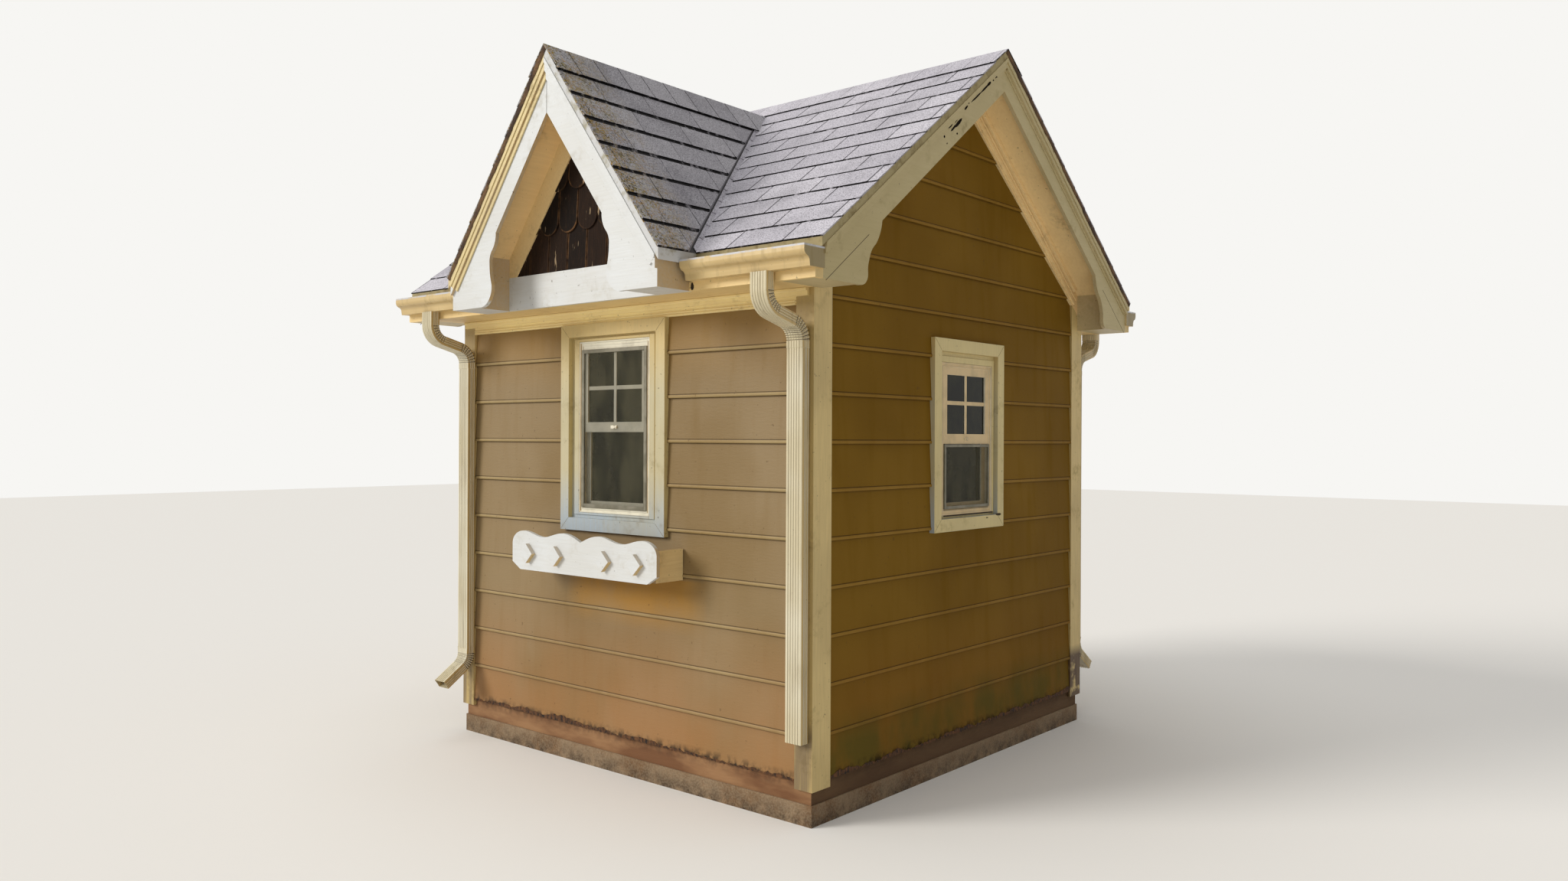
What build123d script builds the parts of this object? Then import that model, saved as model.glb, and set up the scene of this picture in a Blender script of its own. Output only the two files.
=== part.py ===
from build123d import *
from math import atan, cos, radians, tan
import os

os.makedirs("parts", exist_ok=True)

# A small well house with a main gable roof, a steeper gable over the front,
# scroll-cut eave returns, gutters on both eaves and a flower box.
# Millimetres. X runs along the front, the front faces -Y, Z is up, and
# the origin is on the ground under the middle of the building.

# Driving sizes: the box
building_width = 2450
building_depth = 2450
wall_thickness = 100
trim_thickness = 19
slab_height = 90
slab_inset = 12
sill_height = 90
sill_width = 90
sill_joint = 1
corner_board_foot = 150
corner_board_front = 95
corner_board_side = 122
siding_exposure = 203.2
siding_first_lap = 363
siding_butt = 14
siding_tip = 4

# Driving sizes: eaves, whose level follows from the height of the door
soffit_thickness = 10
frieze_height = 67
frieze_step = 34
frieze_step_thickness = 32
frieze_step_end = 25
fascia_overhang = 175
ledge_depth = 49
ledge_height = 37
shingle_overhang = 25

# Driving sizes: the two roofs, whose ridges follow from their slopes and eaves
roof_clearance = 0.55
main_slope = 0.764
front_slope = 1.321
roof_thickness = 30
rake_overhang = 185
front_gable_overhang = 183
front_gable_half = 726
front_gable_drip = 19.4
mould_thickness = 14
mould_width = 36
rake_lip = 6
bargeboard_main = 126
bargeboard_front = 149
rake_soffit_depth = 122
rake_frieze_width = 89
front_trim_width = 105
tie_board_height = 162
gable_panel_thickness = 70
ridge_cap_width = 130
ridge_cap_thickness = 6

# Driving sizes: scroll-cut returns, as runs in from the bargeboards' ends and heights over the soffits
front_scroll = dict(notch=347, lip=(321, 268), waist=(299, 203), belly=(315, 105), tip=(237, 0))
main_scroll = dict(notch=393, lip=(348, 178), waist=(302, 107), belly=(294, 53), tip=(250, 0))
scroll_toe_bulge = 0.15
scroll_waist_bulge = 4
scroll_lip_bulge = 8
front_return_run = 206
main_return_run = 228

# Driving sizes: gutters and downspouts
gutter_depth = 127
gutter_height = 83
gutter_wall = 2.5
gutter_lip = 11
gutter_overrun = 8
gutter_floor = 0.72
gutter_heel = (0.74, 0.2)
gutter_hollow = (0.78, 0.38)
gutter_turn = (0.87, 0.47)
gutter_swell = (0.95, 0.55)
gutter_brow = 0.74
pipe_width = 90
pipe_depth = 52
pipe_groove = 3
pipe_groove_width = 10
pipe_groove_places = (-0.3, 0, 0.3)
pipe_wall = 2
pipe_inset = 62
pipe_mouth_recess = 40
outlet_clearance = 2
outlet_drop = 135
elbow_turn = 75
elbow_radius = 85
short_pipe_foot = 352
shoe_turn = 392
shoe_reach = 150
shoe_drop = 105

# Driving sizes: windows, door and flower box
casing_width = 61
casing_thickness = 32
stop_thickness = 60
sash_setback = 7
frame_face = 24
sash_face = 34
sash_depth = 20
meeting_rail = 48
glass_thickness = 4
front_window_middle = -10
front_window_width = 742
front_window_height = 1010
front_filler = dict(side=59, foot=27, top=23)
side_window = dict(middle=-10, foot=1162, width=648, height=921)
side_filler = dict(side=28, foot=15, top=50)
door_width = 762
door_height = 1850
door_head_gap = 39
door_thickness = 44
door_foot_gap = 6
door_edge_gap = 3
door_casing_width = 89
door_panel_margin = 115
door_panel_foot = 184
door_lock_rail = 0.45
door_panel_recess = 8
knob_height = 920
knob_backset = 60
knob_radius = 27
knob_rose = 32
knob_rose_thickness = 4
knob_neck = 10
knob_neck_length = 22
knob_length = 58
box_middle = -25
box_half = 492
box_depth = 168
box_gap = 46
box_height = 142
box_front_half = 517
box_front_drop = 6
box_front_shoulder = 131
box_front_clip = (62, 36)
lobe_top = 193
lobe_valley = 169
lobe_cusp = 158
lobe_places = (0.28, 0.57, 0.83)
diamond_side = 68
diamond_depth = 22
diamond_height = 83
diamond_places = (-385, -172, 172, 385)

# Sizes worked out from those above
main_stretch = 1 / cos(atan(main_slope))
front_stretch = 1 / cos(atan(front_slope))
half_width = building_width / 2
half_depth = building_depth / 2
sheathing_x = half_width - trim_thickness
sheathing_y = half_depth - trim_thickness
pipe_x = half_width - pipe_inset
siding_foot = slab_height + sill_height
frieze_foot = siding_foot + door_height + door_casing_width + door_head_gap
soffit_level = frieze_foot + frieze_height
fascia_y = half_depth + fascia_overhang
ledge_y = fascia_y + ledge_depth
eave_y = fascia_y + shingle_overhang
barge_x = half_width + rake_overhang
rake_edge_x = barge_x + mould_thickness + rake_lip
front_barge_y = ledge_y + front_gable_overhang
front_edge_y = front_barge_y + mould_thickness + rake_lip
gutter_foot = soffit_level + ledge_height
front_eave_half = front_gable_half + front_gable_drip
eave_top = gutter_foot + gutter_height + roof_clearance + roof_thickness * main_stretch
main_ridge = eave_top + main_slope * eave_y
front_ridge = eave_top + front_slope * front_eave_half
front_ridge_end = (main_ridge - front_ridge) / main_slope
main_under = main_ridge - roof_thickness * main_stretch
front_under = front_ridge - roof_thickness * front_stretch
main_soffit = main_ridge - rake_soffit_depth * main_stretch
front_soffit = front_ridge - rake_soffit_depth * front_stretch
main_return_inner = fascia_y - main_return_run
front_return_inner = front_gable_half - front_return_run
front_window_foot = frieze_foot - front_window_height
front_window = dict(middle=front_window_middle, foot=front_window_foot, width=front_window_width,
                    height=front_window_height)
box_foot = front_window_foot - box_gap - box_height


def flat(points):
    """face with straight edges"""
    return make_face(Polyline(*points, close=True))


def rectangle(low, high):
    """upright face between two corners"""
    return flat([low, (high[0], low[1]), high, (low[0], high[1])])


def side_plane(side, distance):
    """plane of one side of the building, seen from outside, at a distance from its middle"""
    if side == "front":
        return Plane(origin=(0, -distance, 0), x_dir=(1, 0, 0), z_dir=(0, -1, 0))
    if side == "right":
        return Plane(origin=(distance, 0, 0), x_dir=(0, 1, 0), z_dir=(1, 0, 0))
    if side == "back":
        return Plane(origin=(0, distance, 0), x_dir=(-1, 0, 0), z_dir=(0, 1, 0))
    return Plane(origin=(-distance, 0, 0), x_dir=(0, -1, 0), z_dir=(-1, 0, 0))


def board(side, face, inner, outer):
    """piece of a side between two distances from the middle of the building"""
    return extrude(side_plane(side, inner) * face, amount=outer - inner)


def block(x, y, z):
    """box between low and high limits along each axis"""
    return extrude(Plane.XY.offset(z[0]) * rectangle((x[0], y[0]), (x[1], y[1])), amount=z[1] - z[0])


def chevron(apex, slope, half_run, fall):
    """pair of sloping boards meeting at the ridge line, with plumb-cut ends"""
    end = apex - slope * half_run
    return flat([(-half_run, end), (0, apex), (half_run, end), (half_run, end - fall),
                 (0, apex - fall), (-half_run, end - fall)])


def both_ways(part, about):
    """a piece and its mirror image"""
    return [part, mirror(part, about=about)]


def save(name, *solids):
    """write one node"""
    shape = solids[0] if len(solids) == 1 else Compound(children=list(solids))
    export_step(shape, "parts/" + name + ".step")


def siding_levels(top):
    """heights of the butt edges of the siding up to a level"""
    levels = [siding_foot]
    level = siding_first_lap
    while level < top:
        levels.append(level)
        level += siding_exposure
    return levels


def siding(side, sheathing, half_run, top):
    """lap siding on a wall, as one stepped skin"""
    levels = siding_levels(top) + [top]
    outline = [(0, siding_foot)]
    for low, high in zip(levels[:-1], levels[1:]):
        outline.append((siding_butt, low))
        outline.append((siding_tip, high))
    outline.append((0, top))
    plane = side_plane(side, sheathing)
    start = plane.origin - plane.x_dir * half_run
    section = Plane(origin=start, x_dir=plane.z_dir, z_dir=plane.z_dir.cross(Vector(0, 0, 1)))
    return extrude(section * flat(outline), amount=2 * half_run, dir=plane.x_dir)


def window_opening(window):
    """wall opening inside the casing"""
    low = (window["middle"] - window["width"] / 2 + casing_width, window["foot"] + casing_width)
    high = (window["middle"] + window["width"] / 2 - casing_width,
            window["foot"] + window["height"] - casing_width)
    return rectangle(low, high)


def unit_corners(window, filler):
    """lower and upper corner of the window unit, inside its casing and fillers"""
    x = window["width"] / 2 - casing_width - filler["side"]
    low = (window["middle"] - x, window["foot"] + casing_width + filler["foot"])
    return low, (window["middle"] + x, window["foot"] + window["height"] - casing_width - filler["top"])


def drawn_in(corners, inset):
    """rectangle between two corners, smaller all round"""
    low, high = corners
    return rectangle((low[0] + inset, low[1] + inset), (high[0] - inset, high[1] - inset))


def window_casing_face(window):
    """outer outline of the casing"""
    low = (window["middle"] - window["width"] / 2, window["foot"])
    high = (window["middle"] + window["width"] / 2, window["foot"] + window["height"])
    return rectangle(low, high)


def cut_window(wall, side, window, sheathing):
    """wall with the window opening cut through it and the siding cut away for the casing"""
    wall -= board(side, window_opening(window), sheathing - 2 * wall_thickness, sheathing + wall_thickness)
    return wall - board(side, window_casing_face(window), sheathing, sheathing + wall_thickness)


def foundation():
    """concrete slab that is also the floor"""
    x = half_width - slab_inset
    y = half_depth - slab_inset
    save("foundation_slab", block((-x, x), (-y, y), (0, slab_height)))
    z = (slab_height, siding_foot)
    long_board = block((-sheathing_x, sheathing_x), (-sheathing_y, -sheathing_y + sill_width), z)
    y = sheathing_y - sill_width - sill_joint
    short_board = block((sheathing_x - sill_width, sheathing_x), (-y, y), z)
    save("sill_boards", *both_ways(long_board, Plane.XZ), *both_ways(short_board, Plane.YZ))


def gable_wall(side, window):
    """full-height end wall with its siding and window opening"""
    inner = sheathing_x - wall_thickness
    y = sheathing_y
    outline = flat([(-y, siding_foot), (y, siding_foot), (y, main_under - main_slope * y), (0, main_under),
                    (-y, main_under - main_slope * y)])
    wall = board(side, outline, inner, sheathing_x)
    half_run = half_depth - corner_board_side
    frieze_low = main_soffit - rake_frieze_width * main_stretch
    skin = siding(side, sheathing_x, half_run, frieze_low)
    under_frieze = flat([(-half_run, siding_foot), (half_run, siding_foot),
                         (half_run, frieze_low - main_slope * half_run), (0, frieze_low),
                         (-half_run, frieze_low - main_slope * half_run)])
    wall += skin & board(side, under_frieze, sheathing_x, sheathing_x + siding_butt)
    wall = cut_window(wall, side, window, sheathing_x)
    save(side + "_wall", wall)


def eave_wall(side):
    """front or back wall, between the end walls, up to the roof"""
    inner = sheathing_y - wall_thickness
    x = sheathing_x - wall_thickness
    section = flat([(inner, siding_foot), (sheathing_y, siding_foot),
                    (sheathing_y, main_under - main_slope * sheathing_y),
                    (inner, main_under - main_slope * inner)])
    wall = board("right", section, -x, x)
    if side == "front":
        wall = mirror(wall, about=Plane.XZ)
    return wall + siding(side, sheathing_y, half_width - corner_board_front, frieze_foot)


def walls():
    gable_wall("right", side_window)
    gable_wall("left", dict(side_window, middle=-side_window["middle"]))
    front = cut_window(eave_wall("front"), "front", front_window, sheathing_y)
    for slope in both_ways(front_roof(), Plane.YZ):
        front -= slope
    save("front_wall", front)
    doorway = rectangle((-door_width / 2, siding_foot), (door_width / 2, siding_foot + door_height))
    back = eave_wall("back") - board("back", doorway, sheathing_y - 2 * wall_thickness, half_depth)
    x = door_width / 2 + door_casing_width
    surround = rectangle((-x, siding_foot), (x, siding_foot + door_height + door_casing_width))
    save("back_wall", back - board("back", surround, sheathing_y, half_depth))


def corner_boards():
    """two trim boards lapped on each corner, the side ones cut to the slope of the rake frieze"""
    x, y = half_width, half_depth
    front_leaf = rectangle((x - corner_board_front, corner_board_foot), (x, soffit_level))
    leaves = board("front", front_leaf, y - trim_thickness, y)
    inner = y - corner_board_side
    low = main_soffit - rake_frieze_width * main_stretch
    side_leaf = flat([(-y, corner_board_foot), (-inner, corner_board_foot),
                      (-inner, low - main_slope * inner), (-y, low - main_slope * y)])
    leaves += board("right", side_leaf, x - trim_thickness, x)
    front = both_ways(leaves, Plane.YZ)
    back = [mirror(solid, about=Plane.XZ) for solid in front]
    save("corner_boards", *front, *back)


def friezes():
    """stepped boards under the eave soffits and sloping boards under the rakes"""
    x = half_width - corner_board_front
    step = frieze_foot + frieze_step
    lower = rectangle((-x, frieze_foot), (x, soffit_level))
    end = half_width - frieze_step_end
    upper = rectangle((-end, step), (end, soffit_level))
    front = board("front", lower, sheathing_y, half_depth)
    front += board("front", upper, half_depth, sheathing_y + frieze_step_thickness)
    save("eave_friezes", *both_ways(front, Plane.XZ))
    boards = chevron(main_soffit, main_slope, half_depth, rake_frieze_width * main_stretch)
    save("rake_friezes", *both_ways(board("right", boards, sheathing_x, half_width), Plane.YZ))


def front_gable():
    """panel, sloping trim and level tie board of the gable over the front"""
    x = front_gable_half - trim_thickness
    face_y = ledge_y - trim_thickness
    panel = flat([(-x, soffit_level + soffit_thickness), (x, soffit_level + soffit_thickness),
                  (x, front_under - front_slope * x), (0, front_under), (-x, front_under - front_slope * x)])
    save("front_gable_panel", board("front", panel, face_y - gable_panel_thickness, face_y))
    fall = front_trim_width * front_stretch
    tie_top = soffit_level + tie_board_height
    run = (front_soffit - tie_top) / front_slope
    inner = (front_soffit - fall - tie_top) / front_slope
    trim = flat([(-run, tie_top), (0, front_soffit), (run, tie_top), (inner, tie_top),
                 (0, front_soffit - fall), (-inner, tie_top)])
    edge = front_return_inner
    trim = trim & rectangle((-edge, tie_top), (edge, front_ridge))
    save("front_gable_trim", board("front", trim, face_y, ledge_y))
    tie = rectangle((-edge, soffit_level), (edge, tie_top))
    save("front_gable_tie_board", board("front", tie, face_y, ledge_y))


def front_gable_plan():
    """ground plan of the front gable roof, out from the valleys"""
    return flat([(0, -front_ridge_end), (front_eave_half, -eave_y), (front_eave_half, -front_edge_y),
                 (0, -front_edge_y)])


def front_roof():
    """right-hand slope of the front gable, mitred along the valley"""
    fall = roof_thickness * front_stretch
    low = front_ridge - front_slope * front_eave_half
    half = flat([(0, front_ridge), (front_eave_half, low), (front_eave_half, low - fall),
                 (0, front_ridge - fall)])
    return board("front", half, 0, front_edge_y) & extrude(front_gable_plan(), amount=front_ridge)


def roofs():
    """roof slopes, mitred at the ridges and along the valleys"""
    fall = roof_thickness * main_stretch
    low = main_ridge - main_slope * eave_y
    section = flat([(0, main_ridge), (eave_y, low), (eave_y, low - fall), (0, main_ridge - fall)])
    save("main_roof_back", board("right", section, -rake_edge_x, rake_edge_x))
    right = mirror(board("right", section, 0, rake_edge_x), about=Plane.XZ)
    right -= extrude(front_gable_plan(), amount=main_ridge)
    save("main_roof_front_right", right)
    save("main_roof_front_left", mirror(right, about=Plane.YZ))
    save("front_roof_right", front_roof())
    save("front_roof_left", mirror(front_roof(), about=Plane.YZ))


def ridge_caps():
    """bent cap shingles along both ridges"""
    rise = ridge_cap_thickness * main_stretch
    cap = chevron(main_ridge + rise, main_slope, ridge_cap_width, rise)
    save("main_ridge_cap", board("right", cap, -rake_edge_x, rake_edge_x))
    rise = ridge_cap_thickness * front_stretch
    half_run = ridge_cap_width * main_stretch / front_stretch
    cap = board("front", chevron(front_ridge + rise, front_slope, half_run, rise), 0, front_edge_y)
    under = flat([(-half_depth, main_ridge - main_slope * half_depth), (0, main_ridge),
                  (half_depth, -half_depth), (-half_depth, -half_depth)])
    save("front_ridge_cap", cap - board("right", under, -half_width, half_width) - main_cap_solid())


def main_cap_solid():
    """main ridge cap with everything under it"""
    rise = ridge_cap_thickness * main_stretch
    cap = chevron(main_ridge + rise, main_slope, ridge_cap_width, 2 * ridge_cap_width)
    return board("right", cap, -half_width, half_width)


def bargeboards():
    """sloping verge boards with a small mould under the shingles, cut plumb behind the gutters"""
    inner = barge_x - trim_thickness
    verge = chevron(main_under, main_slope, fascia_y, bargeboard_main * main_stretch)
    verge = verge & rectangle((-fascia_y, soffit_level), (fascia_y, main_ridge))
    mould = chevron(main_under, main_slope, fascia_y, mould_width * main_stretch)
    for side in ("right", "left"):
        save("bargeboards_" + side, board(side, verge, inner, barge_x)
             + board(side, mould, barge_x, barge_x + mould_thickness))
    run = front_gable_half
    inner = front_barge_y - trim_thickness
    verge = chevron(front_under, front_slope, run, bargeboard_front * front_stretch)
    verge = verge & rectangle((-run, soffit_level), (run, front_ridge))
    mould = chevron(front_under, front_slope, run, mould_width * front_stretch)
    save("bargeboards_front", board("front", verge, inner, front_barge_y)
         + board("front", mould, front_barge_y, front_barge_y + mould_thickness))


def bow(start, end, bulge):
    """arc from start to end that stands off its chord, to the left where the bulge is positive"""
    chord = Vector(*end) - Vector(*start)
    middle = Vector(*start) + chord * 0.5 + Vector(-chord.Y, chord.X).normalized() * bulge
    return ThreePointArc(start, middle, end)


def scroll_face(scroll, run, slope, board_low):
    """scroll-cut board that fills the corner under the lower end of a bargeboard"""
    lip, waist, belly, tip = ((run - scroll[place][0], soffit_level + scroll[place][1])
                              for place in ("lip", "waist", "belly", "tip"))
    notch = run - scroll["notch"]
    start = (notch, board_low - slope * notch)
    cross = ((board_low - soffit_level) / slope, soffit_level)
    edges = Polyline(start, cross, tip)
    edges += bow(tip, belly, scroll_toe_bulge * (tip[0] - belly[0] + belly[1] - tip[1]))
    edges += bow(belly, waist, -scroll_waist_bulge)
    edges += bow(waist, lip, -scroll_lip_bulge)
    edges += bow(lip, start, scroll_lip_bulge)
    return make_face(edges)


def returns():
    """boxed eave returns with scroll-cut faces"""
    t = soffit_thickness
    low = main_under - bargeboard_main * main_stretch
    face = scroll_face(main_scroll, fascia_y, main_slope, low)
    back = barge_x - trim_thickness
    x = main_return_inner
    ceiling = main_soffit - main_slope * x
    inner_wall = flat([(x, soffit_level), (x + t, soffit_level),
                       (x + t, ceiling - main_slope * t), (x, ceiling)])
    bottom = rectangle((x, soffit_level), (ledge_y - trim_thickness, soffit_level + t))
    for side in ("right", "left"):
        solid = board(side, face, back, barge_x) + board(side, inner_wall + bottom, half_width, back)
        save("scroll_returns_" + side, *both_ways(solid, Plane.XZ))
    low = front_under - bargeboard_front * front_stretch
    face = scroll_face(front_scroll, front_gable_half, front_slope, low)
    back = front_barge_y - trim_thickness
    x = front_return_inner
    ceiling = front_soffit - front_slope * x
    inner_wall = flat([(x, soffit_level), (x + t, soffit_level),
                       (x + t, ceiling - front_slope * t), (x, ceiling)])
    bottom = rectangle((x, soffit_level), (front_gable_half, soffit_level + t))
    outer = front_gable_half - trim_thickness
    outer_wall = flat([(outer, soffit_level + t), (front_gable_half, soffit_level + t),
                       (front_gable_half, front_under - front_slope * front_gable_half),
                       (outer, front_under - front_slope * outer)])
    solid = board("front", face, back, front_barge_y)
    solid += board("front", inner_wall + bottom, ledge_y - trim_thickness, back)
    solid += board("front", outer_wall, fascia_y - trim_thickness, back)
    save("scroll_returns_front", *both_ways(solid, Plane.YZ))


def soffits():
    """closed undersides of the eaves and of the rakes"""
    z = (soffit_level, soffit_level + soffit_thickness)
    front = block((-half_width, half_width), (trim_thickness - ledge_y, -half_depth), z)
    save("eave_soffits", *both_ways(front, Plane.XZ))
    rise = soffit_thickness * main_stretch
    boards = chevron(main_soffit + rise, main_slope, main_return_inner, rise)
    solids = both_ways(board("right", boards, sheathing_x, barge_x - trim_thickness), Plane.YZ)
    rise = soffit_thickness * front_stretch
    boards = chevron(front_soffit + rise, front_slope, front_return_inner, rise)
    solids.append(board("front", boards, ledge_y - trim_thickness, front_barge_y - trim_thickness))
    save("rake_soffits", *solids)


def fascias():
    """eave fascia behind each gutter"""
    x = barge_x - trim_thickness
    inner = fascia_y - trim_thickness
    foot = soffit_level + soffit_thickness
    outline = flat([(inner, foot), (fascia_y, foot), (fascia_y, main_under - main_slope * fascia_y),
                    (inner, main_under - main_slope * inner)])
    save("fascia_back", board("right", outline, -x, x))
    front = mirror(board("right", outline, front_gable_half, x), about=Plane.XZ) - front_roof()
    save("fascia_front", *both_ways(front, Plane.YZ))


def eave_ledges():
    """ledge under each gutter, rebated over the edge of the soffit"""
    x = barge_x - trim_thickness
    rebate = ledge_y - trim_thickness
    foot = soffit_level + soffit_thickness
    rebated = flat([(fascia_y, foot), (rebate, foot), (rebate, soffit_level), (ledge_y, soffit_level),
                    (ledge_y, gutter_foot), (fascia_y, gutter_foot)])
    whole = rectangle((fascia_y, soffit_level), (ledge_y, gutter_foot))
    end = board("right", whole, x, barge_x)
    back = board("right", rebated, -x, x) + end + mirror(end, about=Plane.YZ)
    front = board("right", rebated, front_gable_half, x) + end
    save("eave_ledges", back, *both_ways(mirror(front, about=Plane.XZ), Plane.YZ))


def gutter_profile(inset=0):
    """outline of a gutter of ogee form, as distance from the fascia and height"""
    heel, hollow, turn, swell = ((gutter_depth * share, gutter_height * rise)
                                 for share, rise in (gutter_heel, gutter_hollow, gutter_turn, gutter_swell))
    edges = Polyline((gutter_depth, gutter_height), (0, gutter_height), (0, 0),
                     (gutter_floor * gutter_depth, 0), heel)
    edges += ThreePointArc(heel, hollow, turn)
    edges += ThreePointArc(turn, swell, (gutter_depth, gutter_brow * gutter_height))
    edges += Line((gutter_depth, gutter_brow * gutter_height), (gutter_depth, gutter_height))
    face = make_face(edges)
    return offset(face, amount=-inset) if inset else face


def gutter(start, end):
    """front gutter between two places along X, with closed ends"""
    plane = Plane(origin=(start, -fascia_y, gutter_foot), x_dir=(0, -1, 0), z_dir=(-1, 0, 0))
    shell = extrude(plane * gutter_profile(), amount=start - end)
    inside = extrude(plane * gutter_profile(gutter_wall), amount=start - end)
    inside = inside & block((start + gutter_wall, end - gutter_wall), (-2 * fascia_y, 0), (0, main_ridge))
    mouth = block((start + gutter_wall, end - gutter_wall),
                  (-fascia_y - gutter_depth + gutter_lip, -fascia_y - gutter_wall),
                  (gutter_foot + gutter_height / 2, gutter_foot + 2 * gutter_height))
    return shell - inside - mouth


def gutters():
    end = barge_x + gutter_overrun
    right = gutter(front_eave_half + gutter_wall, end)
    save("gutters_front", *both_ways(right, Plane.YZ))
    save("gutter_back", mirror(gutter(-end, end), about=Plane.XZ))


def pipe_section():
    """rectangular section of a downspout with pressed grooves"""
    x, y = pipe_width / 2, pipe_depth / 2
    face = rectangle((-x, -y), (x, y))
    half = pipe_groove_width / 2
    for side in (-1, 1):
        for place in pipe_groove_places:
            mid = place * pipe_width
            face -= flat([(mid - half, side * y), (mid, side * (y - pipe_groove)), (mid + half, side * y)])
        face -= flat([(side * x, -half), (side * (x - pipe_groove), 0), (side * x, half)])
    return face


def downspout(shoe):
    """front right downspout, from the gutter outlet down the corner"""
    outlet_y = -ledge_y - outlet_clearance - pipe_depth / 2
    pipe_y = -half_depth - pipe_depth / 2
    upper = gutter_foot - outlet_drop
    lower = upper - (pipe_y - outlet_y) / tan(radians(elbow_turn))
    points = [(pipe_x, outlet_y, gutter_foot), (pipe_x, outlet_y, upper), (pipe_x, pipe_y, lower)]
    if shoe:
        points += [(pipe_x, pipe_y, shoe_turn), (pipe_x, pipe_y - shoe_reach, shoe_turn - shoe_drop)]
    else:
        points += [(pipe_x, pipe_y, short_pipe_foot)]
    path = FilletPolyline(*points, radius=[elbow_radius] * (len(points) - 2))
    section = Plane(origin=points[0], x_dir=(1, 0, 0), z_dir=(0, 0, -1)) * pipe_section()
    pipe = sweep(section, path=path)
    end = Vector(*points[-1])
    back = (Vector(*points[-2]) - end).normalized()
    mouth = Plane(origin=end, x_dir=(1, 0, 0), z_dir=back)
    x = pipe_width / 2 - pipe_groove - pipe_wall
    y = pipe_depth / 2 - pipe_groove - pipe_wall
    hollow = rectangle((-x, -y), (x, y))
    return pipe - extrude(mouth * hollow, amount=pipe_mouth_recess)


def downspouts():
    """three downspouts with a shoe, and one at the front right that has lost it"""
    save("downspout_front_right", downspout(shoe=False))
    whole = downspout(shoe=True)
    save("downspout_front_left", mirror(whole, about=Plane.YZ))
    back = mirror(whole, about=Plane.XZ)
    save("downspout_back_right", back)
    save("downspout_back_left", mirror(back, about=Plane.YZ))


def window(side, sizes, filler, sheathing):
    """casing with its inner stops, frame with both sashes, and panes of one window"""
    opening = window_opening(sizes)
    front = sheathing + sash_setback
    casing = board(side, window_casing_face(sizes) - opening, sheathing, sheathing + casing_thickness)
    corners = unit_corners(sizes, filler)
    unit = rectangle(*corners)
    casing += board(side, opening - unit, front - stop_thickness, front)
    middle = (corners[0][1] + corners[1][1]) / 2
    inner = drawn_in(corners, frame_face)
    pane = drawn_in(corners, frame_face + sash_face)
    above = rectangle((-building_width, middle - meeting_rail / 2), (building_width, main_ridge))
    below = rectangle((-building_width, 0), (building_width, middle + meeting_rail / 2))
    sashes = board(side, unit - inner, front - stop_thickness, front)
    panes = []
    face = front
    for half, other in ((above, below), (below, above)):
        glass = (pane & half) - other
        sashes += board(side, (inner & half) - glass, face - sash_depth, face)
        centre = face - sash_depth / 2
        panes.append(board(side, glass, centre - glass_thickness / 2, centre + glass_thickness / 2))
        face -= sash_depth
    return casing, sashes, panes


def windows():
    """double-hung windows in the front and in both ends"""
    places = [("front", front_window, front_filler, sheathing_y),
              ("right", side_window, side_filler, sheathing_x),
              ("left", dict(side_window, middle=-side_window["middle"]), side_filler, sheathing_x)]
    parts = [window(*place) for place in places]
    save("window_casings", *[casing for casing, sashes, panes in parts])
    save("window_sashes", *[sashes for casing, sashes, panes in parts])
    save("window_glass", *[pane for casing, sashes, panes in parts for pane in panes])


def door():
    """closed panelled door in the back wall, with casing and knob"""
    foot = siding_foot
    x = door_width / 2
    top = foot + door_height
    outer = rectangle((-x - door_casing_width, foot), (x + door_casing_width, top + door_casing_width))
    opening = rectangle((-x, foot), (x, top))
    save("door_casing", board("back", outer - opening, sheathing_y, sheathing_y + casing_thickness))
    gap = door_edge_gap
    leaf_face = rectangle((-x, foot + door_foot_gap), (x - gap, top - gap))
    face = sheathing_y
    leaf = board("back", leaf_face, face - door_thickness, face)
    middle = foot + door_height * door_lock_rail
    panel_x = x - door_panel_margin
    for low, high in ((foot + door_panel_foot, middle - door_panel_margin / 2),
                      (middle + door_panel_margin / 2, top - door_panel_margin)):
        leaf -= board("back", rectangle((-panel_x, low), (panel_x, high)), face - door_panel_recess, face)
    save("back_door", leaf)
    centre = (knob_backset - x, face, foot + knob_height)
    belly = (knob_neck_length + knob_length) / 2
    profile = flat([(0, 0), (knob_rose, 0), (knob_rose, knob_rose_thickness),
                    (knob_neck, knob_rose_thickness), (knob_neck, knob_neck_length),
                    (knob_radius, belly), (knob_neck, knob_length), (0, knob_length)])
    save("door_knob", revolve(Plane(origin=centre, x_dir=(1, 0, 0), z_dir=(0, 0, 1)) * profile,
                              axis=Axis(centre, (0, 1, 0))))


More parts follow.
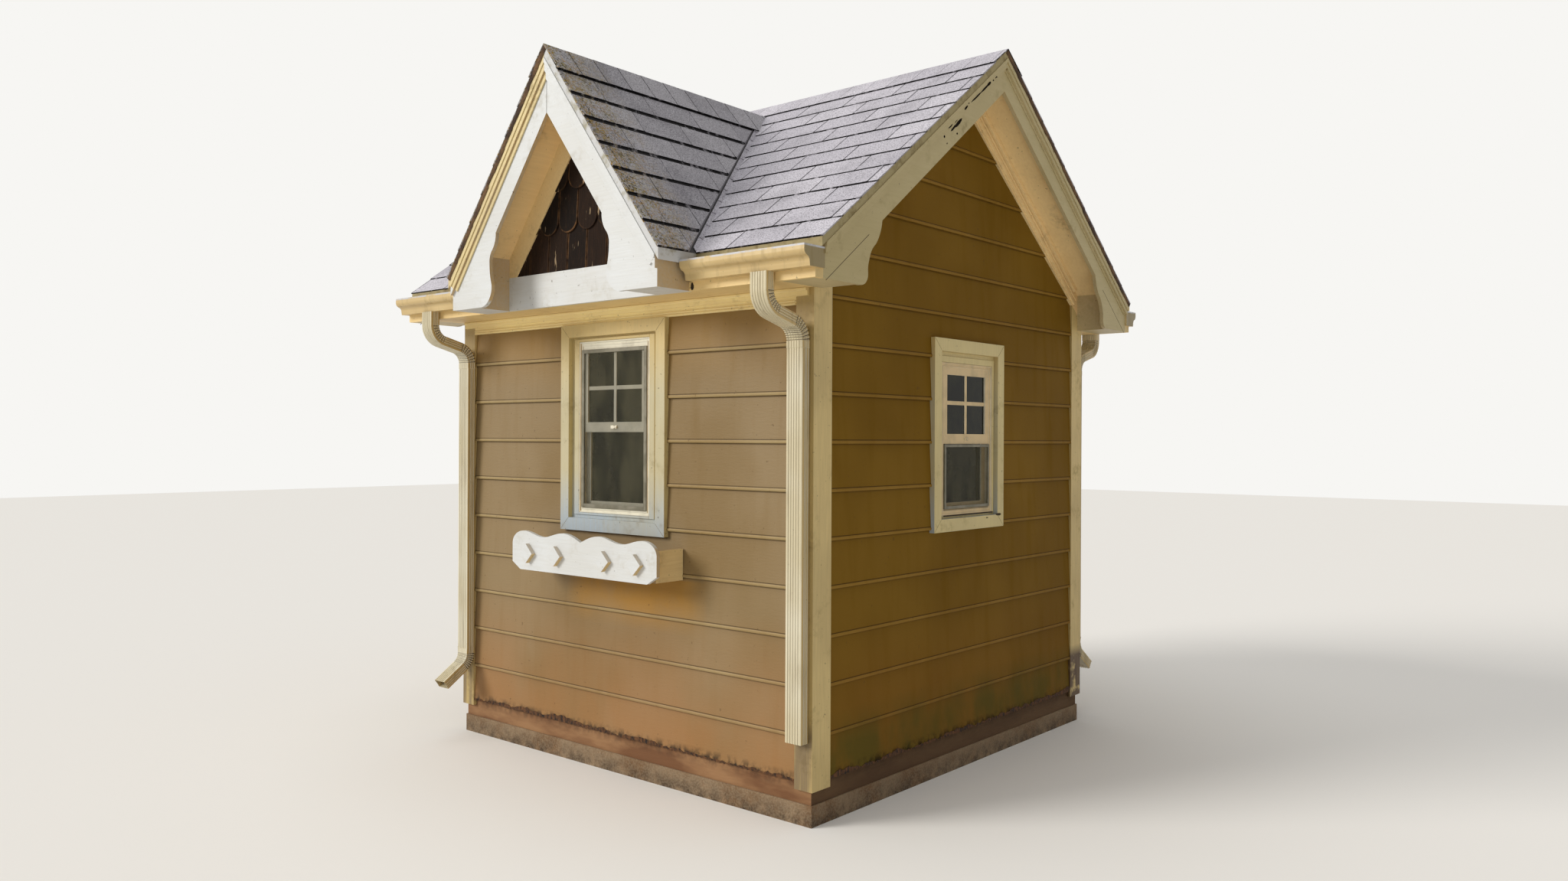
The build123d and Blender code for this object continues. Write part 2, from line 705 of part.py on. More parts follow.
def flower_box():
    """open box under the front window with a scalloped, studded front board"""
    wall_face = sheathing_y + siding_butt
    front = wall_face + box_depth
    low, high = box_middle - box_half, box_middle + box_half
    top = box_foot + box_height
    t = trim_thickness
    floor = rectangle((low + t, box_foot), (high - t, box_foot + t))
    save("flower_box_floor", board("front", floor, wall_face, front))
    ends = [board("front", rectangle((low, box_foot), (low + t, top)), wall_face, front),
            board("front", rectangle((high - t, box_foot), (high, top)), wall_face, front)]
    save("flower_box_ends", *ends)
    foot = box_foot - box_front_drop
    m = box_middle
    x = box_front_half
    inner_lobe, valley, outer_lobe = (place * x for place in lobe_places)
    cusp = (m, foot + lobe_cusp)
    crest, shoulder = foot + lobe_top, foot + box_front_shoulder
    outline = ThreePointArc(cusp, (m - inner_lobe, crest), (m - valley, foot + lobe_valley))
    outline += ThreePointArc((m - valley, foot + lobe_valley), (m - outer_lobe, crest), (m - x, shoulder))
    clip_x, clip_z = box_front_clip
    outline += Polyline((m - x, shoulder), (m - x, foot + clip_z), (m - x + clip_x, foot),
                        (m + x - clip_x, foot), (m + x, foot + clip_z), (m + x, shoulder))
    outline += ThreePointArc((m + x, shoulder), (m + outer_lobe, crest), (m + valley, foot + lobe_valley))
    outline += ThreePointArc((m + valley, foot + lobe_valley), (m + inner_lobe, crest), cusp)
    face = board("front", make_face(outline), front, front + t)
    for place in diamond_places:
        stud = Location((m + place, foot + diamond_height), 45) * Rectangle(diamond_side, diamond_side)
        face += board("front", stud, front + t, front + t + diamond_depth)
    save("flower_box_front", face)


foundation()
walls()
corner_boards()
friezes()
front_gable()
roofs()
ridge_caps()
bargeboards()
returns()
soffits()
fascias()
eave_ledges()
gutters()
downspouts()
windows()
door()
flower_box()
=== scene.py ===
import math
import random
from contextlib import contextmanager

import bpy
from mathutils import Matrix, Vector


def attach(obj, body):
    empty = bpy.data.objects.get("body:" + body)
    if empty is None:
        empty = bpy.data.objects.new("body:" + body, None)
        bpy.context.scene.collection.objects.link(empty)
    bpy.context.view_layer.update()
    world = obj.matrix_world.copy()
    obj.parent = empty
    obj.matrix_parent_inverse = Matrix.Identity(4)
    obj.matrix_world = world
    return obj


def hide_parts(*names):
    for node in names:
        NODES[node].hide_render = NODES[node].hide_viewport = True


# A small weathered well house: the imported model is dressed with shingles, siding
# beads, window bars, crimped downspouts and old paint. Metres throughout.

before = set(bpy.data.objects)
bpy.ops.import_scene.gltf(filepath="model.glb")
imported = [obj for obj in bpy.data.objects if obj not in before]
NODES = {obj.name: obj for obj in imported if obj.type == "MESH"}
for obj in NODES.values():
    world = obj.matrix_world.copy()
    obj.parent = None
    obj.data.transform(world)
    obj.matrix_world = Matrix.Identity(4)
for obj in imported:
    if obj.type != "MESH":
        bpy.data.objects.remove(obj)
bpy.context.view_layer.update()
random.seed(7)


def linear(hex_value):
    """sRGB hex value as a linear colour"""
    parts = [int(hex_value[i:i + 2], 16) / 255 for i in (1, 3, 5)]
    return tuple(p / 12.92 if p <= 0.04045 else ((p + 0.055) / 1.055) ** 2.4 for p in parts) + (1.0,)


def add(material, kind, inputs=None, **settings):
    """one shader node with its settings and what goes into its sockets"""
    item = material.node_tree.nodes.new(kind)
    for name, value in settings.items():
        setattr(item, name, value)
    for socket, value in (inputs or {}).items():
        if isinstance(value, bpy.types.NodeSocket):
            material.node_tree.links.new(value, item.inputs[socket])
        else:
            item.inputs[socket].default_value = value
    return item


# Sockets of the colour mix node: what goes in and what comes out
FACTOR, FIRST, SECOND, MIXED = 0, 6, 7, 2
MILLIMETRES = 1000


def mottle(m, size, stretch=(1, 1, 1), detail=4.0, low=0.4, high=0.6):
    """mask of soft patches on the object, this many millimetres across; the limits say how
    much of the noise is bare and from where it covers fully"""
    place = add(m, "ShaderNodeTexCoord").outputs["Object"]
    mapping = add(m, "ShaderNodeMapping", {"Vector": place, "Scale": stretch})
    noise = add(m, "ShaderNodeTexNoise", {"Vector": mapping.outputs[0], "Scale": MILLIMETRES / size,
                                          "Detail": detail, "Roughness": 0.55})
    mask = add(m, "ShaderNodeMapRange", {"Value": noise.outputs[0], "From Min": low, "From Max": high})
    return mask.outputs[0]


def rising(m, axis, none, full):
    """mask that goes from nothing to full between two places along an axis of the object"""
    place = add(m, "ShaderNodeSeparateXYZ", {0: add(m, "ShaderNodeTexCoord").outputs["Object"]})
    mask = add(m, "ShaderNodeMapRange", {"Value": place.outputs[axis], "From Min": none, "From Max": full})
    return mask.outputs[0]


def endward(m, none, full):
    """mask of the faces that look to the two gable ends"""
    normal = add(m, "ShaderNodeSeparateXYZ", {0: add(m, "ShaderNodeTexCoord").outputs["Normal"]}).outputs["X"]
    square = add(m, "ShaderNodeMath", {0: normal, 1: normal}, operation="MULTIPLY")
    mask = add(m, "ShaderNodeMapRange", {"Value": square.outputs[0], "From Min": none, "From Max": full})
    return mask.outputs[0]


def coat(m, colour, shade, *masks):
    """colour with a coat of another over it, where all of the masks are"""
    cover = masks[0]
    for mask in masks[1:]:
        cover = add(m, "ShaderNodeMath", {0: cover, 1: mask}, operation="MULTIPLY", use_clamp=True).outputs[0]
    return add(m, "ShaderNodeMix", {FACTOR: cover, FIRST: colour, SECOND: linear(shade)},
               data_type="RGBA").outputs[MIXED]


def new_material(name):
    material = bpy.data.materials.new(name)
    material.use_nodes = True
    material.node_tree.nodes.clear()
    return material


def finished(m, colour, roughness, relief=None, strength=0.3, distance=0.002, **fixed):
    """surface from a colour, a roughness (or a mask and the roughness without and with it) and a relief"""
    if isinstance(roughness, tuple):
        mask, bare, covered = roughness
        roughness = add(m, "ShaderNodeMapRange", {"Value": mask, "To Min": bare, "To Max": covered}).outputs[0]
    inputs = {"Base Color": colour, "Roughness": roughness}
    inputs.update({socket.replace("_", " "): value for socket, value in fixed.items()})
    if relief is not None:
        bump = add(m, "ShaderNodeBump", {"Strength": strength, "Distance": distance, "Height": relief})
        inputs["Normal"] = bump.outputs[0]
    surface = add(m, "ShaderNodeBsdfPrincipled", inputs)
    add(m, "ShaderNodeOutputMaterial", {0: surface.outputs[0]})
    return m


# Lap lines of the siding: the lowest lap and the exposure
FIRST_LAP = 0.363
LAP = 0.2032


def siding_paint(name, light, dark, streak, moss=False, box_stain=False, shine=0.2):
    """Faded satin acrylic on pressed-wood lap siding: even tan with vertical rain
    streaks, a pressed groove over each lower edge drawn darker as painted shade, a painted
    shadow under each lap, rust-brown splash stains near the ground and rot along the lowest
    edge. The pressed grain is 2 mm wide and is drawn 9 mm apart so that it shows."""
    m = new_material(name)
    colour = coat(m, linear(dark), light, mottle(m, 700, detail=2.0))
    streaks = mottle(m, 60, (1, 1, 0.12), low=0.5, high=0.75)
    colour = coat(m, colour, streak, streaks, 0.12)
    if box_stain:
        colour = coat(m, colour, "#a87a2a", rising(m, "X", -0.36, -0.2), rising(m, "X", 0.62, 0.45),
                      rising(m, "Z", 0.70, 0.84), rising(m, "Z", 0.97, 0.95),
                      mottle(m, 260, low=0.05, high=0.55), 0.85)
        colour = coat(m, colour, "#94702f", rising(m, "Z", 1.85, 2.1), 0.5)
    clay, share = ("#a56e3a", 0.5) if box_stain else ("#8c5a2c", 0.35)
    colour = coat(m, colour, clay, rising(m, "Z", 0.85, 0.25),
                  mottle(m, 420, (1, 1, 0.6), low=0.1, high=0.6), share)
    if moss:
        colour = coat(m, colour, "#5a5220", rising(m, "Z", 0.46, 0.3),
                      mottle(m, 160, (1, 1, 0.5), low=0.25, high=0.6), 0.8)
    colour = coat(m, colour, "#1d140b", rising(m, "Z", 0.225, 0.185),
                  mottle(m, 35, (1, 1, 0.8), low=0.42, high=0.6))
    colour = coat(m, colour, "#5b4426", mottle(m, 22, low=0.7, high=0.76, detail=2.0), 0.5)
    place = add(m, "ShaderNodeSeparateXYZ", {0: add(m, "ShaderNodeTexCoord").outputs["Object"]})
    above_first = add(m, "ShaderNodeMath", {0: place.outputs["Z"], 1: FIRST_LAP}, operation="SUBTRACT")
    laps = add(m, "ShaderNodeMath", {0: above_first.outputs[0], 1: LAP}, operation="DIVIDE")
    course = add(m, "ShaderNodeMath", {0: laps.outputs[0]}, operation="FRACT").outputs[0]
    groove_foot, groove_top, under_lap_shadow = (
        add(m, "ShaderNodeMapRange", {"Value": course, "From Min": none, "From Max": full}).outputs[0]
        for none, full in ((0.066, 0.072), (0.092, 0.082), (0.955, 0.995)))
    groove = add(m, "ShaderNodeMath", {0: groove_foot, 1: groove_top}, operation="MULTIPLY").outputs[0]
    # the darker band in each pressed groove is painted shade
    colour = coat(m, colour, "#3f2d14", groove, 0.8)
    # the darker band just under each lap is painted shadow
    colour = coat(m, colour, "#503b1a", under_lap_shadow, 0.6)
    grain = mottle(m, 9, (0.25, 0.25, 1.0), low=0.3, high=0.7, detail=6.0)
    relief = add(m, "ShaderNodeMath", {0: grain, 1: groove}, operation="SUBTRACT").outputs[0]
    return finished(m, colour, (streaks, 0.5, 0.68), relief, 0.3, 0.0012, Specular_IOR_Level=shine)


def trim_paint(name, front, side, worn, dirt, grain_axis=2, changes=(), bare=None):
    """Old oil paint on pine boards: chalky cream, with a side colour of painted light and shade
    on the faces towards the gable ends, thin along the grain, with grey dirt in patches and
    fine cracks along the grain.
    The grain is 3 mm wide and is drawn 12 mm apart so that it shows."""
    m = new_material(name)
    along = [1.0, 1.0, 1.0]
    along[grain_axis] = 0.07
    # the side colour on the faces towards the gable ends is painted light and shade
    colour = coat(m, linear(front), side, endward(m, 0.4, 0.6))
    # bands by height on the other faces: on the casings a yellower head and a painted sky reflection at the
    # foot; on the box darker brown towards the foot
    for shade, none, full in changes:
        colour = coat(m, colour, shade, rising(m, "Z", none, full), endward(m, 0.85, 0.7))
    colour = coat(m, colour, worn, mottle(m, 420, detail=2.0), 0.3)
    if bare:
        weathered, rotten, none, full = bare
        low = rising(m, "Z", none, full)
        colour = coat(m, colour, weathered, endward(m, 0.6, 0.4), low, mottle(m, 40, along, low=0.3, high=0.5))
        colour = coat(m, colour, rotten, rising(m, "Y", 1.0, 1.05), low, mottle(m, 60, low=0.3, high=0.45))
    grain = mottle(m, 12, along, low=0.35, high=0.7, detail=5.0)
    colour = coat(m, colour, worn, grain, 0.25)
    broad, fine = mottle(m, 140, low=0.55, high=0.75), mottle(m, 26, low=0.4, high=0.62)
    patches = add(m, "ShaderNodeMath", {0: broad, 1: fine}, operation="MULTIPLY").outputs[0]
    colour = coat(m, colour, dirt, patches, 0.5)
    colour = coat(m, colour, "#4a3a22", mottle(m, 16, low=0.7, high=0.76, detail=2.0), 0.6)
    return finished(m, colour, (patches, 0.5, 0.75), grain, 0.3, 0.0012)


def shingle_stone(name, light, dark, moss=False):
    """Asphalt shingles: crushed mineral granules pressed in bitumen, black along the lower
    edges as painted shadow with dirt, and darker in the slots and on cut ends as painted
    shade. The granules are 2 mm across and are drawn 7 mm apart so that they show."""
    m = new_material(name)
    tone = add(m, "ShaderNodeAttribute", attribute_name="tone").outputs["Fac"]
    colour = coat(m, linear(dark), light, tone)
    granules = mottle(m, 7, low=0.42, high=0.6, detail=2.0)
    colour = coat(m, colour, "#d6d3da", granules, 0.5)
    colour = coat(m, colour, "#4b484c", mottle(m, 6, low=0.5, high=0.6, detail=2.0), 0.5)
    colour = coat(m, colour, "#57545a", mottle(m, 300, low=0.5, high=0.7), 0.3)
    if moss:
        for size, fine, shade in ((150, 9, "#c2bba6"), (95, 13, "#8f8145"), (50, 9, "#a07b33"),
                                  (80, 10, "#4a4224")):
            colour = coat(m, colour, shade, rising(m, "Y", -1.3, -1.62), mottle(m, size, low=0.42, high=0.56),
                          mottle(m, fine, low=0.48, high=0.6))
    # black on the marked faces: painted shadow with dirt under each butt, painted shade in the slots and on cut
    # ends
    lower_edge = add(m, "ShaderNodeAttribute", attribute_name="butt").outputs["Fac"]
    colour = coat(m, colour, "#121011", lower_edge, mottle(m, 40, low=0.3, high=0.45))
    return finished(m, colour, 0.92, granules, 0.5, 0.0015, Specular_IOR_Level=0.25)


def bitumen(name):
    """Back and edge of asphalt shingles: black bitumen with little granule left, which is
    drawn 12 mm apart so that it shows."""
    m = new_material(name)
    colour = coat(m, linear("#1b191b"), "#3a3638", mottle(m, 12, low=0.4, high=0.65))
    return finished(m, colour, 0.85, mottle(m, 8), 0.4, 0.001)


def roof_deck(name, paint, worn):
    """Roof boards: black felt on top, and a painted drip edge on the ends and the eaves."""
    m = new_material(name)
    normal = add(m, "ShaderNodeSeparateXYZ", {0: add(m, "ShaderNodeTexCoord").outputs["Normal"]})
    edge = add(m, "ShaderNodeMapRange", {"Value": normal.outputs["Z"], "From Min": 0.4, "From Max": 0.2})
    colour = coat(m, linear("#1b191b"), "#2f2c2e", mottle(m, 12, low=0.4, high=0.65))
    colour = coat(m, colour, paint, edge.outputs[0])
    colour = coat(m, colour, worn, edge.outputs[0], mottle(m, 45, low=0.5, high=0.7))
    return finished(m, colour, 0.8, mottle(m, 10), 0.3, 0.001)


def mud_stained_wood(name):
    """Treated timber sill, rust-brown from splashed clay, with grain along the wall, 3 mm
    wide and drawn 10 mm apart so that it shows."""
    m = new_material(name)
    colour = coat(m, linear("#96704b"), "#704a2b", mottle(m, 130, (0.3, 0.3, 1)))
    colour = coat(m, colour, "#3c2413", rising(m, "Z", 0.13, 0.185), mottle(m, 40), 0.7)
    # darker on the faces towards the gable ends: painted shade
    colour = coat(m, colour, "#3f2c12", endward(m, 0.4, 0.6), 0.75)
    return finished(m, colour, 0.88, mottle(m, 10, (0.1, 0.1, 1), detail=5.0), 0.4, 0.0015)


def stained_cedar(name):
    """Split cedar with dark brown stain that has silvered in streaks down the grain, which
    is 1 mm wide and is drawn 7 mm apart so that it shows."""
    m = new_material(name)
    grain = mottle(m, 7, (1, 1, 0.08), low=0.35, high=0.7, detail=6.0)
    tone = add(m, "ShaderNodeAttribute", attribute_name="tone").outputs["Fac"]
    colour = coat(m, linear("#120b07"), "#2b1c12", tone)
    colour = coat(m, colour, "#0d0805", grain, 0.5)
    colour = coat(m, colour, "#5c4029", mottle(m, 60), mottle(m, 11, (1, 1, 0.2), low=0.55, high=0.75), 0.3)
    colour = coat(m, colour, "#b39c7c", mottle(m, 30, (1, 1, 0.2), low=0.66, high=0.7), 0.7)
    lower_edge = add(m, "ShaderNodeAttribute", attribute_name="butt").outputs["Fac"]
    colour = coat(m, colour, "#8a6440", lower_edge, mottle(m, 45, low=0.35, high=0.65), 0.6)
    return finished(m, colour, 0.8, grain, 0.5, 0.0015, Specular_IOR_Level=0.12)


LIP_FOOT = 2.336


def baked_enamel(name, fresh, chalked, stain, ends):
    """Roll-formed aluminium with baked enamel, chalked, with runs of dirt, a lip worn to bare metal, painted
    shade on the faces towards the gable ends, and folds dark with dirt and painted shade.
    """
    m = new_material(name)
    colour = coat(m, linear(fresh), chalked, mottle(m, 500, detail=2.0))
    # the ends colour on the faces towards the gable ends is painted shade
    colour = coat(m, colour, ends, endward(m, 0.5, 0.7))
    runs = mottle(m, 26, (1, 1, 0.1), low=0.52, high=0.72)
    colour = coat(m, colour, "#7d6a45", runs, stain)
    colour = coat(m, colour, "#55452c", mottle(m, 13, low=0.71, high=0.76, detail=2.0), 0.5)
    colour = coat(m, colour, "#c3c4c9", rising(m, "Z", LIP_FOOT, LIP_FOOT + 0.003),
                  mottle(m, 50, low=0.3, high=0.5))
    fold = add(m, "ShaderNodeAttribute", attribute_name="fold").outputs["Fac"]
    fold_dirt_and_shade = add(m, "ShaderNodeMapRange", {"Value": fold, "From Min": 0.3, "From Max": 0.75}).outputs[0]
    # the folds and flutes are darkened with dirt and painted shade
    colour = coat(m, colour, "#42331b", fold_dirt_and_shade, 0.85)
    return finished(m, colour, (runs, 0.36, 0.6), mottle(m, 90, detail=2.0), 0.08, 0.002)


def vinyl(name, base):
    """Extruded rigid vinyl with a soft gloss and dust in patches."""
    m = new_material(name)
    dust = mottle(m, 70, low=0.45, high=0.7)
    # yellower on the faces towards the gable ends: painted warm light
    colour = coat(m, linear(base), "#d9bd8a", endward(m, 0.5, 0.8))
    colour = coat(m, colour, "#9d9580", dust, 0.35)
    return finished(m, colour, (dust, 0.32, 0.6), mottle(m, 120, detail=2.0), 0.05, 0.001)


def dark_glass(name):
    """Float glass in front of a dark room: smooth and glossy, with a film of dust."""
    m = new_material(name)
    film = mottle(m, 110, low=0.4, high=0.75)
    colour = coat(m, linear("#15150b"), "#4a4a30", film, 0.35)
    return finished(m, colour, (film, 0.06, 0.3), IOR=1.52, Specular_IOR_Level=0.12)


def screen_mesh(name):
    """Fibreglass insect mesh, 1.5 mm a hole, drawn as an even veil with dust in it."""
    m = new_material(name)
    colour = coat(m, linear("#3a3829"), "#5c5843", mottle(m, 90, (1, 1, 0.4)))
    return finished(m, colour, 0.9, mottle(m, 4), 0.1, 0.0005, Alpha=0.42)


def rotten_fibre(name):
    """Pressed-wood siding that has swollen and crumbled to dark brown fibre."""
    m = new_material(name)
    colour = coat(m, linear("#1a0f07"), "#6a4526", mottle(m, 14, (1, 1, 0.5), low=0.35, high=0.65))
    return finished(m, colour, 0.95, mottle(m, 6), 0.7, 0.002)


def screen_frame_enamel(name):
    """Roll-formed screen frame in grey-bronze enamel, dusty."""
    m = new_material(name)
    colour = coat(m, linear("#7f7a68"), "#68634f", mottle(m, 60))
    return finished(m, colour, 0.5, mottle(m, 40), 0.05, 0.001)


def worn_felt(name):
    """Undersides and torn ends of old shingles: brown-black felt with pale grit on the rim."""
    m = new_material(name)
    colour = coat(m, linear("#3a2615"), "#6d5031", mottle(m, 90))
    colour = coat(m, colour, "#17100c", mottle(m, 9, low=0.5, high=0.65), 0.5)
    return finished(m, colour, 0.9, mottle(m, 9), 0.5, 0.0015)


def dark_gap(name, deep, dusty):
    """Open joint: shadow with dust in it."""
    m = new_material(name)
    return finished(m, coat(m, linear(deep), dusty, mottle(m, 20)), 0.95)


def concrete(name):
    """Cast concrete, rust-brown from splashed clay, with air holes and grit, 3 mm across
    and drawn 9 mm apart so that they show."""
    m = new_material(name)
    grit = mottle(m, 9, detail=6.0)
    colour = coat(m, linear("#8a7358"), "#75583a", mottle(m, 160))
    colour = coat(m, colour, "#3d2c1b", rising(m, "Z", 0.09, 0.0), mottle(m, 50, low=0.35, high=0.6))
    colour = coat(m, colour, "#a39176", grit, 0.3)
    return finished(m, colour, 0.93, grit, 0.6, 0.003)


def aged_brass(name):
    """Lacquered brass gone dull brown, still bright where hands rub it."""
    m = new_material(name)
    rubbed = mottle(m, 14, low=0.45, high=0.65)
    colour = coat(m, linear("#7a5f33"), "#b08d4a", rubbed)
    return finished(m, colour, (rubbed, 0.45, 0.25), rubbed, 0.1, 0.0005, Metallic=1.0)


SIDING = siding_paint("siding_paint_faded_tan", "#8e7956", "#826a44", "#75592f")
SIDING_FRONT = siding_paint("siding_paint_faded_tan_box_stain", "#8e7957", "#836c46", "#75592f", box_stain=True)
SIDING_MOSSY = siding_paint("siding_paint_brown_tan_with_moss", "#80601f", "#765719", "#5c420e", True,
                            shine=0.03)
# the beads take lighter copies of the siding paint: a painted highlight along each lap
BEAD = siding_paint("siding_bead_painted_highlight_tan", "#a18c62", "#967e52", "#75592f")
BEAD_MOSSY = siding_paint("siding_bead_painted_highlight_brown_tan", "#92702f", "#856426", "#5c420e", True, shine=0.05)
# The trim is one cream-white paint; these copies carry the light and shade of their parts in their colours.
# Door and corner boards: painted warm shade, with lighter side faces as painted light.
DOOR_PAINT = trim_paint("trim_paint_cream_painted_warm_shade", "#bca368", "#dac183", "#a08a5a", "#6f5c36")
TRIM_CORNER = trim_paint("trim_paint_cream_painted_warm_shade_on_corner_boards", "#bca368", "#dac183", "#a08a5a", "#6f5c36",
                         bare=("#7d6a4a", "#4a2f16", 0.44, 0.38))
# Casings: painted light, with a yellower head and a painted sky reflection at the foot
TRIM_CASING = trim_paint("trim_paint_cream_on_casings", "#c1b999", "#d9c68c", "#b3a373", "#7d6b44",
                         changes=(("#d0b677", 1.8, 2.1), ("#a9b7c2", 1.45, 1.2)))
# Ledges, fascias and soffits of the eaves, and the friezes under them: painted bounce light
TRIM_LEVEL = trim_paint("trim_paint_cream_painted_bounce_light_under_eaves", "#efd294", "#d5bc80", "#d3b272", "#8d7342", 0)
TRIM_FRIEZE = trim_paint("trim_paint_cream_painted_bounce_light_on_friezes", "#ffebaa", "#d5bc80", "#e2c489", "#8d7342", 0)
# Front gable trim and right crown: a cool white of painted sky light, with darker side faces as painted shade;
# left crown: painted warm light
TRIM_WHITE = trim_paint("trim_paint_white_painted_sky_light", "#d8dbdc", "#c8a873", "#c5c2b8", "#b0a995", 0)
CROWN_WHITE = trim_paint("trim_paint_white_painted_sky_light_on_gable_crown", "#d8dbdc", "#cfd1d0", "#c9c9c4", "#bcb9ae", 0)
CROWN_CREAM = trim_paint("trim_paint_cream_painted_warm_light_on_gable_crown", "#dcc891", "#dcc891", "#b9a478", "#8d7b55", 0)
# Side bargeboards: painted shade; rake soffits, rake friezes and front gable trim: painted bounce light
TRIM_RAKE = trim_paint("trim_paint_cream_painted_shade_on_rakes", "#c6b58c", "#bcac7e", "#a3935f", "#756740", 1)
TRIM_SOFFIT = trim_paint("trim_paint_cream_painted_bounce_light_under_rakes", "#f6dca4", "#fcdca2", "#d4b378", "#8b744a", 1)
# Flower box ends and floor: the near-white colour of the end faces is painted light
BOX_ENDS = trim_paint("trim_paint_peeled_to_wood", "#b39a6c", "#f6dca2", "#c29d62", "#6a4c27", 1,
                      changes=(("#6b4a24", 0.985, 0.955),))
SHINGLES = shingle_stone("asphalt_shingle_granules", "#d0cdd6", "#b9b6c0")
SHINGLES_MOSSY = shingle_stone("asphalt_shingle_granules_mossy", "#b7b5ba", "#9d9ba1", moss=True)
BITUMEN = bitumen("asphalt_shingle_bitumen")
DECK = roof_deck("roof_boards_felt_and_cream_edge", "#d3c193", "#8f7c55")
DECK_KHAKI = roof_deck("roof_boards_felt_and_khaki_edge", "#a99b72", "#85754d")
DECK_WHITE = roof_deck("roof_boards_felt_and_white_edge", "#cfd0d0", "#a9a491")
SILL = mud_stained_wood("sill_timber_clay_stained")
CEDAR = stained_cedar("cedar_shingle_dark_stain")
ENAMEL = baked_enamel("aluminium_baked_enamel_almond", "#d9c18c", "#cbb07a", 0.3, "#8d7c50")
ENAMEL_PIPE = baked_enamel("aluminium_baked_enamel_bone", "#dad3bb", "#cdc2a2", 0.35, "#c2a76f")
VINYL = vinyl("window_vinyl_white", "#e6e1cd")
GLASS = dark_glass("float_glass_dusty")
ROT = rotten_fibre("siding_rotten_fibre")
SCREEN_FRAME = screen_frame_enamel("screen_frame_grey_enamel")
SCREEN_MESH = screen_mesh("insect_mesh_fibreglass")
WORN_FELT = worn_felt("shingle_ends_worn_felt")
GAP_DARK = dark_gap("open_joint_shadow", "#1f160c", "#3d2f1b")
JOINT_WORN = dark_gap("painted_joint_shadow", "#5f4f33", "#8a7a55")
CONCRETE = concrete("concrete_clay_stained")
BRASS = aged_brass("door_knob_aged_brass")

FINISHES = {
    CONCRETE: ("foundation_slab",),
    SILL: ("sill_boards",),
    SIDING_FRONT: ("front_wall",),
    SIDING: ("back_wall",),
    SIDING_MOSSY: ("left_wall", "right_wall"),
    CEDAR: ("front_gable_panel",),
    TRIM_CORNER: ("corner_boards",),
    TRIM_CASING: ("window_casings",),
    TRIM_FRIEZE: ("eave_friezes",),
    TRIM_LEVEL: ("eave_soffits", "fascia_front", "fascia_back", "eave_ledges"),
    TRIM_RAKE: ("bargeboards_left", "bargeboards_right", "scroll_returns_left", "scroll_returns_right",
                "door_casing"),
    TRIM_SOFFIT: ("rake_soffits", "rake_friezes", "front_gable_trim"),
    TRIM_WHITE: ("bargeboards_front", "scroll_returns_front", "front_gable_tie_board", "flower_box_front"),
    BOX_ENDS: ("flower_box_floor", "flower_box_ends"),
    DOOR_PAINT: ("back_door",),
    BRASS: ("door_knob",),
    VINYL: ("window_sashes",),
    GLASS: ("window_glass",),
    DECK: ("main_roof_back", "main_roof_front_left", "main_roof_front_right", "front_roof_left",
           "front_roof_right"),
    BITUMEN: ("main_ridge_cap", "front_ridge_cap"),
    ENAMEL: ("gutters_front", "gutter_back"),
    ENAMEL_PIPE: ("downspout_front_left", "downspout_front_right", "downspout_back_left",
                  "downspout_back_right"),
}
for finish, node_names in FINISHES.items():
    for node_name in node_names:
        NODES[node_name].data.materials.clear()
        NODES[node_name].data.materials.append(finish)


def deselect():
    if bpy.context.object and bpy.context.object.mode != "OBJECT":
        bpy.ops.object.mode_set(mode="OBJECT")
    bpy.ops.object.select_all(action="DESELECT")


def only(piece):
    """make one object the active and only selected one"""
    deselect()
    piece.select_set(True)
    bpy.context.view_layer.objects.active = piece


def started(operator, **size):
    """piece started from a primitive, with nothing else selected"""
    deselect()
    operator(**size)
    return bpy.context.object


@contextmanager
def edit_mode(piece, action="SELECT"):
    """edit mode with all of a piece selected, or none of it"""
    only(piece)
    bpy.ops.object.mode_set(mode="EDIT")
    bpy.ops.mesh.select_all(action=action)
    yield
    bpy.ops.object.mode_set(mode="OBJECT")


def modify(piece, kind, **settings):
    """one modifier, applied to a piece"""
    only(piece)
    change = piece.modifiers.new(kind.lower(), kind)
    for setting, value in settings.items():
        setattr(change, setting, value)
    bpy.ops.object.modifier_apply(modifier=change.name)


def join(pieces, name):
    """join objects into one, leaving out what was trimmed away"""
    pieces = [piece for piece in pieces if piece]
    deselect()
    for piece in pieces:
        piece.select_set(True)
    bpy.context.view_layer.objects.active = pieces[0]
    bpy.ops.object.join()
    joined = bpy.context.object
    joined.name = joined.data.name = name
    return joined


def facing(side):
    """turn that takes a piece made for the front wall to another wall"""
    angle = {"front": 0, "right": 90, "back": 180, "left": -90}[side]
    return Matrix.Rotation(math.radians(angle), 4, "Z")


def settle(piece, name, material, side="front"):
    """turn a piece to its wall, bring its place into its mesh, give it its finish and let it
    ride on the house"""
    only(piece)
    piece.name = piece.data.name = name
    piece.data.transform(facing(side))
    bpy.ops.object.transform_apply(location=True, rotation=True, scale=True)
    if material is not None:
        piece.data.materials.clear()
        piece.data.materials.append(material)
    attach(piece, "root")
    return piece


def copy_at(pattern, matrix):
    """copy of an object with its own mesh, moved by a matrix"""
    twin = pattern.copy()
    twin.data = pattern.data.copy()
    bpy.context.collection.objects.link(twin)
    twin.data.transform(matrix)
    return twin


def mirror(piece, x=1, y=1):
    """turn a piece over, with its faces still outwards"""
    piece.data.transform(Matrix.Diagonal((x, y, 1, 1)))
    if x * y < 0:
        piece.data.flip_normals()


def cut_away(piece, point, normal):
    """remove what lies on the normal's side of a plane, and close the cut"""
    with edit_mode(piece):
        bpy.ops.mesh.bisect(plane_co=point, plane_no=normal, use_fill=True, clear_outer=True, threshold=1e-5)


